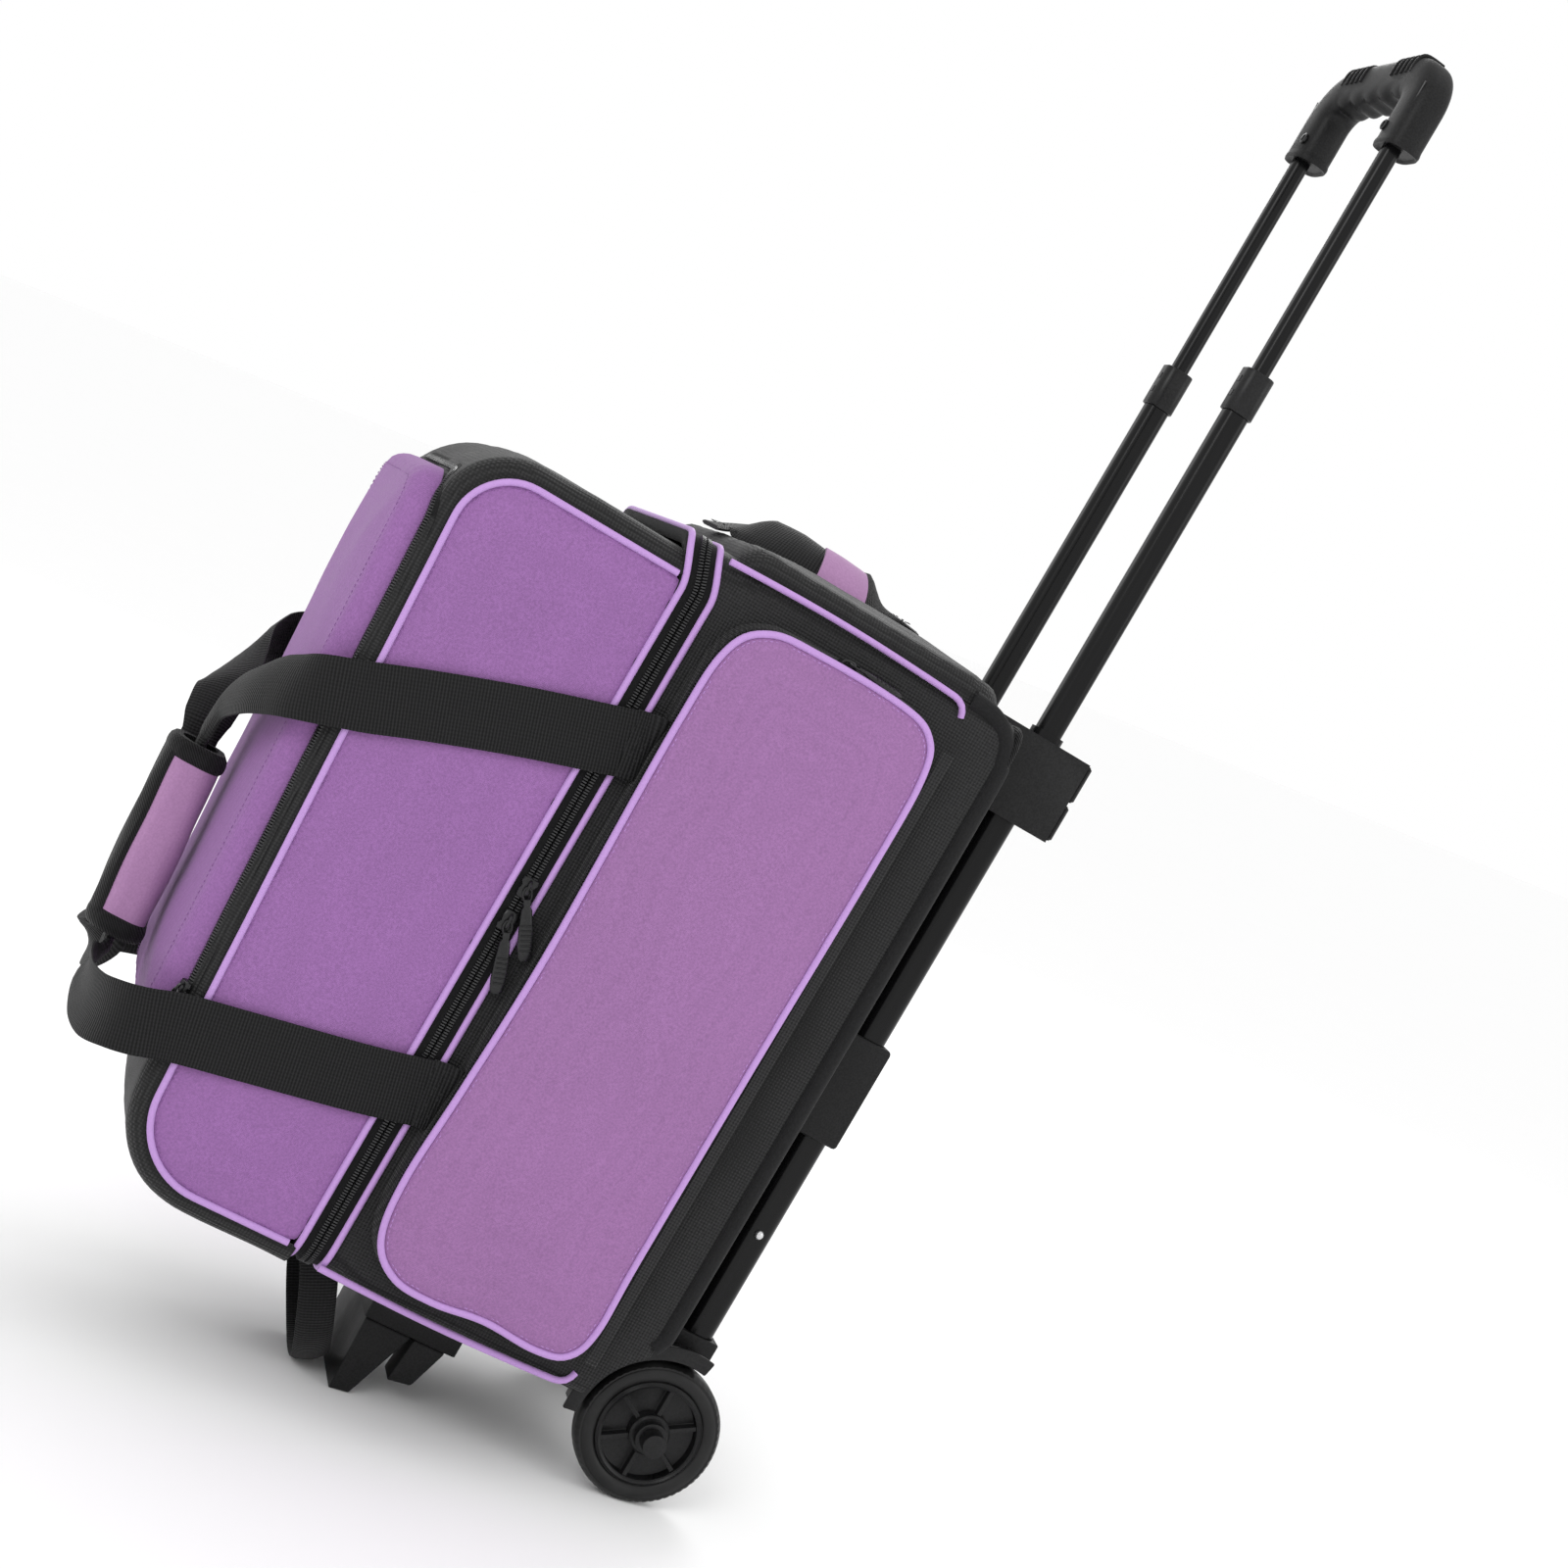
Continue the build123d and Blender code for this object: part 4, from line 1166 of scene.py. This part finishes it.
# ---------------------------------------------------------------- straps and handles
def along_stations(stations):
    """Smooth path through stations of (point, across, width, thickness, cup)."""
    points = np.array([s[0] for s in stations], float)
    rest = np.array([[*s[1], *s[2:]] for s in stations], float)
    knots = arc_lengths(points)
    path = smooth_line(points, 3.5)
    lengths = arc_lengths(path)
    values = sample(lengths / lengths[-1] * knots[-1], knots, rest)
    return path, unit(values[:, :3]), values[:, 3], values[:, 4], values[:, 5]


def webbing(name, stations, body, node=None, mat="web"):
    """A length of webbing through stations, made into a piece."""
    path, across, width, thick, cup = along_stations(stations)
    points, faces, web = ribbon(path, across, width, thick, cup)
    return make(name, points, faces, mat, body, node, web=web)


WRAP_Y, WRAP_LOW, WRAP_HIGH = -22.0, 122.0, 256.0
WRAP_SIZE, WRAP_ROUND = 19.5, 14.0


def wrap_x(z):
    """The wrap's middle; it leans with the lid's front."""
    return -469.5 - 0.075 * (z - 192)


def strap_across(side, turn, way):
    """Which way the strap's width points: along the bag at turn 0, and at turn 1 sideways for the near
    strap and backward for the far one."""
    swing = math.radians(90 * turn)
    sideways = (0.1 * (1 - turn), -side * math.sin(swing)) if side < 0 else (math.sin(swing), 0)
    return (*sideways, way * math.cos(swing))


def carry_strap(side, bundle_y):
    """Along the lid's side, round its front corner into the wrap, and back again."""
    y = side * (HALF + 6.3)
    flat, back_flat = (0.3, 0, 1), (0.22, 0, -1)
    turned = lambda turn, way=1: strap_across(side, turn, way)
    bundle = turned(1)
    return [
        ((-253.5, y, 397), flat, 44, 2.6, 0),
        ((-319, y, 376.5), flat, 44, 2.6, 0),
        ((-374, y, 357), flat, 44, 2.6, 0),
        ((-410, y, 343), flat, 44, 2.6, side * 0.5),
        ((-433, y - side * 0.5, 335), turned(0), 43, 2.6, side * 1.0),
        ((-449, side * 119, 328), turned(0), 42, 2.6, side * 2.0),
        ((-461, side * 99, 320), turned(0.08), 42, 2.8, side * 3.0),
        ((-470, side * 74, 309), turned(0.3), 40, 3.0, side * 4.0),
        ((-475, (side * 52 + bundle_y) / 2, 293), turned(0.62), 37, 4.0, side * 5.0),
        ((wrap_x(269), bundle_y + side * 2, 269), turned(0.9), 32, 5.5, side * 4),
        ((wrap_x(WRAP_HIGH), bundle_y, WRAP_HIGH), bundle, 25, 6.5, 0),
        ((wrap_x(200), bundle_y, 200), bundle, 25, 6.5, 0),
        ((wrap_x(WRAP_LOW), bundle_y, WRAP_LOW), bundle, 25, 6.5, 0),
        ((wrap_x(110), bundle_y + side * 2, 110), turned(0.8, -1), 32, 5.5, side * -4),
        ((-468, (side * 48 + bundle_y) / 2, 98), turned(0.45, -1), 37, 4.0, side * -4.0),
        ((-466, side * 70, 92), turned(0.2, -1), 40, 3.0, side * -4.0),
        ((-459, side * 99, 92), turned(0.04, -1), 42, 2.8, side * -3.0),
        ((-448, side * 119, 97), turned(0, -1), 42, 2.6, side * -2.0),
        ((-433, y - side * 0.5, 102), turned(0, -1), 43, 2.6, side * -1.5),
        ((-410, y, 109), back_flat, 44, 2.6, side * -0.5),
        ((-365, y, 118), back_flat, 44, 2.6, 0),
        ((-300, y, 131), back_flat, 44, 2.6, 0),
        ((-253.5, y, 142), back_flat, 44, 2.6, 0),
    ]


def box_stitch(centre, u, v, half_u, half_v, out):
    """A sewn square with its diagonals."""
    centre, u, v = (np.array(x, float) for x in (centre, u, v))
    corners = [centre + u * half_u * a + v * half_v * b for a, b in ((-1, -1), (1, -1), (1, 1), (-1, 1))]
    pairs = ((0, 1), (1, 2), (2, 3), (3, 0), (0, 2), (1, 3))
    return joined([stitches(np.linspace(corners[i], corners[j], 12), out, loop=False) for i, j in pairs])


def build_straps():
    """Both carry straps and their sewn ends on the tub."""
    webbing("near_strap_web", carry_strap(-1, WRAP_Y), "near_strap", "near_carry_strap")
    webbing("far_strap_web", carry_strap(1, 16.0), "far_strap", "far_carry_strap")
    tabs, webs, sewn = [], [], []
    for side in (-1, 1):
        y = side * (HALF + 6.5)
        for z, slope in ((397, 0.31), (142, 0.22)):
            path = smooth_line([(-257, y, z - slope), (-250, y + side * 0.6, z + 1), (-243, y, z + slope * 9),
                                (-237, y - side * 5, z + slope * 14)], 2)
            points, faces, web = ribbon(path, (slope, 0, 1), 44.6, 3.2)
            tabs.append((points, faces))
            webs += web
            for x, shift in ((-247, 2), (-252, 0)):
                line = [(x, y + side * 2.3, z + d) for d in np.linspace(-20 + shift, 20 + shift, 8)]
                sewn.append(stitches(line, (0, side, 0), loop=False))
    make("strap_anchors", *joined(tabs), "web", "root", "strap_tabs", web=webs)
    make("strap_anchor_stitches", *joined(sewn), "thread", "root")


def wrap_ring(z, grow):
    """Outline of the wrap at one height, `grow` outside its usual size."""
    a = WRAP_SIZE + grow
    outline = evenly_count(rounded_box((-a, -a), (a, a), WRAP_ROUND + grow * 0.6, 3), 48)
    wave = 0.35 * np.sin(outline[:, 1] * 0.25 + z * 0.09)
    return np.c_[outline[:, 0] + wrap_x(z) + wave, outline[:, 1] + WRAP_Y, np.full(48, z)]


def build_wrap():
    """The neoprene sleeve round the strap, bound in webbing at its ends and down its front."""
    zs = np.linspace(WRAP_LOW + 1.5, WRAP_HIGH - 1.5, 26)
    belly = lambda z: -2.0 + 1.6 * math.sin(math.pi * (z - WRAP_LOW) / (WRAP_HIGH - WRAP_LOW)) ** 0.7
    outer = [wrap_ring(z, belly(z)) for z in zs]
    inner = [wrap_ring(z, belly(z) - 4.5) for z in zs][::-1]
    sleeve = make("wrap_sleeve", *looped(outer + inner), "wrap", "near_strap", "grip_wrap")
    parts = []
    for low, high in ((WRAP_LOW, WRAP_LOW + 13), (WRAP_HIGH - 13, WRAP_HIGH)):
        heights = np.linspace(low, high, 6)
        from_middle = (heights - (low + high) / 2) / ((high - low) / 2)
        swell = 2.4 * np.sqrt(np.maximum(0, 1 - from_middle**2))
        rings = [wrap_ring(z, belly(z) + more) for z, more in zip(heights, swell)]
        parts.append(looped(rings + [wrap_ring(z, belly(z) - 5.2) for z in heights[::-1]]))
    front = np.flatnonzero(wrap_ring(200, 0)[:, 0] < wrap_x(200) - 12.5)
    gap = int(np.argmax(np.diff(front))) + 1 if np.diff(front).max() > 1 else 0
    order = np.roll(front, -gap)
    edge = []
    for z in np.linspace(WRAP_LOW + 3, WRAP_HIGH - 3, 30):
        rings = [wrap_ring(z, belly(z) + grow) for grow in (0.6, 1.9, -1.0)]
        line = [rings[0 if k in (order[0], order[-1]) else 1][k] for k in order]
        edge.append(np.array(line + [rings[2][k] for k in order[::-1]]))
    parts.append(bridge(edge))
    points, faces = joined(parts)
    make("wrap_binding", points, faces, "web", "near_strap", web=web_of(points))


def build_top_cushion():
    """The padded cloth of the top end, which stands proud of the piping."""
    half = HALF - 2.5
    outline = rounded_box((MOUTH_X + 3, -half), (-44, half), [10, 24, 24, 10], 7)
    place = lambda a, b, h: (a, b, HIGH - 1.0 + h)
    points, faces = panel(outline, 24, 16, place, pucker=0.5, sag=1.4, seed=61, back=1.0)
    cushion = make("top_cushion", points, faces, "ballistic", "root")


def build_end_handles():
    """The slack handle on the top end, with its sleeve, and the small one at the bottom."""
    flat, slack, droop = (0, 1, 0.05), (0.05, 0.85, 0.5), (0.1, 0.8, 0.62)
    arch = [
        ((-252, 4, 546), flat, 40, 3, 0), ((-245, 4, 548.5), flat, 40, 3, 0),
        ((-234, 0, 554), flat, 40, 3, 0), ((-222, -12, 559), slack, 40, 3, 1.5),
        ((-202, -26, 561), droop, 39, 3, 3), ((-180, -34, 561), droop, 36, 3, 4),
        ((-158, -36, 560), droop, 36, 3, 4), ((-140, -30, 558), droop, 39, 3, 2),
        ((-128, -18, 557), slack, 40, 3, 1), ((-116, -6, 556.5), flat, 40, 3, 0),
        ((-98, 0, 555), flat, 40, 3, 0),
    ]
    webbing("top_handle_web", arch, "root", "top_end_handle")
    middle = ((-182, -34, 561.2), (-170, -35.4, 561.2), (-158, -36, 560.4), (-147, -34, 559.4))
    sleeve = [(point, droop, 38, 6.4, 4) for point in middle]
    pad = webbing("top_handle_sleeve", sleeve, "root", mat="wrap")
    ends = ((-243, 3, 550.2), (-108, -2, 557.2))
    sewn = [box_stitch(centre, (1, 0, 0), (0, 1, 0), 7, 17, (0, 0, 1)) for centre in ends]
    make("top_handle_stitches", *joined(sewn), "thread", "root")
    x = (0.85, 0, 0.5)
    route = (((-252, -62, 5.5), 0), ((-247, -63, 1), 0), ((-237, -65, -18), 1), ((-222, -58, -50), 2),
             ((-211, -34, -72), 2))
    near = [(point, x, 25, 3, cup) for point, cup in route]
    far = [((p[0], -p[1], p[2]), *rest) for p, *rest in near[::-1]]
    webbing("bottom_handle_web", near + [((-208, 0, -79), x, 25, 3, 2)] + far, "root", "bottom_end_handle")


# ---------------------------------------------------------------- zip sliders
def tapered(stations):
    """A rounded bar through stations of (centre, across, up, half width, half thickness)."""
    rings = []
    angles = around(14)
    for centre, across, up, w, t in stations:
        c, s = np.cos(angles), np.sin(angles)
        flat = np.stack([np.sign(c) * np.abs(c) ** 0.6 * w, np.sign(s) * np.abs(s) ** 0.6 * t], 1)
        rings.append(np.array(centre) + np.outer(flat[:, 0], across) + np.outer(flat[:, 1], up))
    return bridge(rings)


def ring_link(centre, u, v, radius_u, radius_v, thick):
    """The small oval ring between a slider and its tag."""
    centre, u, v = (np.array(x, float) for x in (centre, u, v))
    line = [centre + u * radius_u * math.cos(t) + v * radius_v * math.sin(t) for t in around(20)]
    return round_cord(line, thick, closed=True, sides=8)


def slider(name, body, node, centre, along, out, pull_to, length):
    """A zip slider: its body over the coil, the bridge, a ring, and a moulded tag."""
    along, out, pull_to = (unit(np.array(v, float)) for v in (along, out, pull_to))
    centre, across = np.array(centre, float), np.cross(along, out)
    profile = ((-7, 3.6, 0.9), (-6.2, 4.6, 1.5), (-2, 5.0, 1.7), (1, 4.2, 1.7), (3.5, 5.8, 1.7),
               (6.4, 5.2, 1.5), (7, 4.2, 0.9))
    parts = [tapered([(centre + along * s + out * 1.9, across, out, w, t) for s, w, t in profile])]
    arch = ((-5, 3.2), (-3.5, 5.6), (0, 6.4), (3.5, 5.4), (5, 3.2))
    bridge_line = smooth_line([centre + along * s + out * h for s, h in arch], 1)
    parts.append(round_cord(bridge_line, 1.1, sides=8))
    hang = centre + out * 6.0
    side = unit(np.cross(out, pull_to))
    parts.append(ring_link(hang + pull_to * 3.6, pull_to, side, 4.6, 2.8, 0.75))
    steps = ((6.5, 2.2, 1.2), (9, 2.5, 1.3), (11, 2.0, 1.2), (13, 3.4, 1.6), (length * 0.55, 4.6, 2.0),
             (length * 0.8, 5.0, 2.1), (length * 0.95, 4.4, 1.9), (length, 2.8, 1.2))
    parts.append(tapered([(hang + pull_to * s, side, out, w, t) for s, w, t in steps]))
    for s in np.arange(length * 0.5, length * 0.9, 3.2):
        for face in (-1, 1):
            ridge = [hang + pull_to * s + side * k + out * face * 2.1 for k in (-3.4, 0, 3.4)]
            parts.append(round_cord(smooth_line(ridge, 1.2), 0.55, sides=6))
    return make(name, *joined(parts), "enamel", body, node)


def build_sliders():
    """Two sliders on the main zip, one on each pocket, and one on the front flap."""
    y = -(HALF + 2.4)
    for word, z, way, hang in (("upper", 286, 1, (0.46, 0, -0.89)), ("lower", 262, -1, (0.34, 0, -0.94))):
        slider(f"slider_{word}_pull", f"slider_{word}", f"main_slider_{word}", (ZIP_X, y, z), (0, 0, way),
               (0, -1, 0), hang, 46)
    for side, word in ((-1, "near"), (1, "far")):
        slider(f"{word}_pocket_pull", f"{word}_slider", f"{word}_pocket_slider",
               (-160, side * (HALF + 14), 505), (-1, 0, 0), (0, side * 0.35, 1), (1, 0, -0.05), 40)
    spot = (-114.6, -158)
    low, high = extent("front_slider")
    slider("front_pull", "flap_slider", "front_slider", on_lid(*spot, 1.8), (UP[0], 0, UP[1]),
           lid_normal(*spot), (-0.1, 0, -1), high[2] - low[2] - 10)


build_lid_band()
build_lid_sides()
build_lid_inside()
build_flap()
build_hinge_cloths()
build_straps()
build_wrap()
build_top_cushion()
build_end_handles()
build_sliders()


# ---------------------------------------------------------------- wheels, stand, tubes and grip
def revolve_y(profile, sides=120, teeth_on=(), depth=0.0):
    """A closed profile of (radius, y) turned about the axle; the named points carry small notches."""
    rings = []
    for k, angle in enumerate(around(sides)):
        notch = depth if k % 3 == 0 else 0.0
        cut = [(r - (notch if i in teeth_on else 0), y) for i, (r, y) in enumerate(profile)]
        rings.append(np.array([(r * math.cos(angle), y, r * math.sin(angle)) for r, y in cut]))
    return looped(rings)


def build_wheels():
    """Tyres with tread notches, rims and bosses on the CAD hubs, and the fenders over them."""
    inner, outer = -wheel_high[1], -wheel_low[1]
    radius, rim_radius = wheel_high[0], 36.6
    middle = (inner + outer) / 2
    shoulder = [(rim_radius, 2.5), (rim_radius + 2, 0.8), (42, 0.2), (45, 0.6), (46, 1.6), (47.6, 1.3),
                (49.0, 3.0), (49.7, 5)]
    crown = [(radius, 3), (radius, 0.6), (49.3, 0), (radius, -0.6), (radius, -3)]
    tread = [(r, outer - d) for r, d in shoulder] + [(r, middle + d) for r, d in crown]
    tread += [(r, inner + d) for r, d in shoulder[::-1]]
    rim_lip = [(33.2, middle + 10.4), (34.6, middle + 11.3), (rim_radius, middle + 9.4),
               (rim_radius, middle + 8), (33.0, middle + 8.6)]
    boss = [(8.2, 109.5), (12.6, 109.5), (14.0, 108), (14.0, middle + 1.4), (8.2, middle + 1.4)]
    low, high = 83.2, 112.0
    fender = [(55, low), (58, low), (58, high - 4), (63, high - 4), (64.5, high - 2.5), (64.5, high - 0.6),
              (63.5, high), (56, high), (54, high - 1), (54, high - 3), (55, high - 4)]
    for side, word in ((-1, "near"), (1, "far")):
        turned = lambda profile, side=side: [(r, side * y) for r, y in profile]
        make(f"tyre_{word}_tread", *revolve_y(turned(tread), 180, (5, 6, 14, 15), 0.5), "tyre",
             f"wheel_{word}", f"tyre_{word}")
        lips = [revolve_y(turned(rim_lip)), revolve_y(turned(boss), 60)]
        make(f"wheel_{word}_rim", *joined(lips), "hub", f"wheel_{word}", sharp=30)
        cad(f"wheel_hub_{word}", "hub", 0.5)
        rings = []
        for angle in np.radians(np.linspace(78, 186, 55)):
            c, s = math.cos(angle), math.sin(angle)
            rings.append(np.array([(r * c, y, r * s) for r, y in turned(fender)]))
        soften(make(f"wheel_{word}_fender", *bridge(rings), "hub", "root", f"wheel_housing_{word}",
                    "black_plastic"), 0.5)


GRIP_MIDDLE_X, GRIP_LEG_Y, GRIP_BAR_Z = 9.0, 70.0, 1048.8


def grip_ring(at, along):
    """Cross-section of the grip: capsule legs, and a bar with finger waves below."""
    inward = np.array([0, -along[2], along[1]])
    on_bar = smoothstep((54 - abs(at[1])) / 14)
    flare = 1.4 * smoothstep((999 - at[2]) / 3) * (1 - on_bar)
    wave = on_bar * 3.2 * (0.5 + 0.5 * math.cos(at[1] / 21.0 * math.tau))
    angles = around(48)
    c, s = np.cos(angles), np.sin(angles)
    power = 0.62 - 0.2 * on_bar
    x = np.sign(c) * np.abs(c) ** power * (13.8 - 0.8 * on_bar + flare * 0.3)
    depth = np.where(s < 0, 16.2 + flare * 0.3, 16.2 - 3.4 * on_bar + flare + wave)
    other = np.sign(s) * np.abs(s) ** (power + 0.2 * (s > 0) * on_bar) * depth
    return np.array(at) + np.outer(x, [1, 0, 0]) - np.outer(other, inward)


def build_grip():
    """One moulded grip with a window for the button, its ribs, and its screws."""
    low = extent("grip_lower")[0][2]
    corners = [(-GRIP_LEG_Y, low), (-GRIP_LEG_Y, GRIP_BAR_Z), (GRIP_LEG_Y, GRIP_BAR_Z), (GRIP_LEG_Y, low)]
    line = rounded_outline(corners, [0, 24, 24, 0], 1.8, closed=False)
    path = np.c_[np.full(len(line), GRIP_MIDDLE_X), line]
    rings = [grip_ring(p, t) for p, t in zip(path, tangents(path, False))]
    ends = []
    for centre, ring in ((path[0], rings[0]), (path[-1], rings[-1])):
        ends.append([centre + (ring - centre) * size + np.array([0, 0, lift])
                     for size, lift in ((0.80, 1.6), (0.90, 0.2), (0.97, 0.0))])
    body = make("grip_body", *bridge(ends[0] + rings[1:-1] + ends[1][::-1]), "plastic", "grip",
                ["grip_lower", "grip_upper"])
    button_low, button_high = extent("release_button")
    window = box_shape(button_low - (0.6, 0.6, 4.6), (button_high[0] + 0.6, button_high[1] + 0.6, 1090))
    carve(body, [window])
    body.data.materials.clear()
    body.data.materials.append(M["plastic"])
    cad("release_button", "hub", 1.0)
    ribs = []
    over_top = ((15, 1065.2), (6, 1065.3), (0, 1064.3), (-3.2, 1060.8), (-4.0, 1055), (-3.9, 1050))
    for side in (-1, 1):
        for k in range(5):
            line = [(x, side * (23 + k * 7.2), z) for x, z in over_top]
            ribs.append(round_cord(smooth_line(line, 2), 1.5, sides=8))
    make("grip_ribs", *joined(ribs), "plastic", "grip")
    heads = []
    for side in (-1, 1):
        steps = ((3.9, 0), (3.9, 1.0), (3.2, 1.5), (2.5, 1.5), (2.2, 0.6))
        heads.append(bridge([disc_x(-4.6, side * 62, 1007, r, out) for r, out in steps]))
        seam = [(GRIP_MIDDLE_X - 11.5, side * 81.5, z) for z in np.linspace(998, 1040, 9)]
        heads.append(round_cord(seam, 0.6, sides=6))
    make("grip_screws", *joined(heads), "enamel", "grip", slot="black_plastic")


def disc_x(x, y, z, radius, out):
    """A circle about an axis along X, raised toward the front."""
    angles = around(24)
    return np.stack([np.full(24, x - out), y + radius * np.cos(angles), z + radius * np.sin(angles)], 1)


def build_tubes():
    """Finish of the CAD tubes and fittings, and small keys, plates and a lock pin on them."""
    for node in ("outer_tubes", "middle_tubes", "inner_tubes"):
        cad(node, "tube", 0)
    cad("tube_collars", "hub", 0.8)
    for node, width in (("tube_bracket", 2.2), ("tube_clips", 2.4), ("tube_sockets", 1.6)):
        cad(node, "plastic", width, 3)
    cad("bracket_screws", "steel", 0.4)
    slots = []
    low, high = extent("tube_collars")
    for side in (-1, 1):
        for z in (high[2] - 9, high[2] - 20):
            y = side * GRIP_LEG_Y
            slots.append(box_shape((low[0] - 0.5, y - 2.6, z - 2.4), (low[0] + 0.6, y + 2.6, z + 2.4), 0.4))
    make("collar_keys", *joined(slots), "enamel", "middle_stage", slot="black_plastic")
    plates = []
    low, high = extent("tube_bracket")
    middle = (low[2] + high[2]) / 2
    for z_low, z_high in ((low[2] + 2, middle - 1.5), (middle + 1.5, high[2] - 1)):
        corner, other = (high[0] - 0.5, low[1] + 1.5, z_low), (high[0] + 4.2, high[1] - 1.5, z_high)
        plates.append(box_shape(corner, other, 1.6))
    soften(make("bracket_plates", *joined(plates), "plastic", "root"), 0.8)
    steps = ((3.4, -0.5), (3.4, 0.6), (2.7, 1.9), (1.2, 2.6))
    rings = [disc_y(5.6, 148, r, -80.2 - h, 20) for r, h in steps]
    make("lock_pin", *bridge(rings), "steel", "root")


def build_base():
    """Finish of the CAD base, axle and feet, and the rolled cloth edges at the back."""
    for node, width in (("base_tray", 1.8), ("stand_plate", 2.5), ("front_foot", 2.2), ("rear_feet", 2.2)):
        cad(node, "plastic", width, 3)
    cad("axle", "steel", 0)
    cad("axle_caps", "hub", 1.6, 3)
    route = ((-34, 117, 58), (-30.5, 117.5, 66), (-29.4, 117.6, 90), (-29, 118, 300), (-29.4, 117.6, 480),
             (-32, 117.4, 506), (-39, 117, 521), (-52, 116.6, 528.5), (-70, 116.6, 531))
    rolls = []
    for side in (-1, 1):
        path = smooth_line([(x, side * y, z) for x, y, z in route], 4)
        rolls.append(round_cord(path, 7.0, sides=18))
    make("back_edge_rolls", *joined(rolls), "lining", "root")


build_wheels()
build_grip()
build_tubes()
build_base()
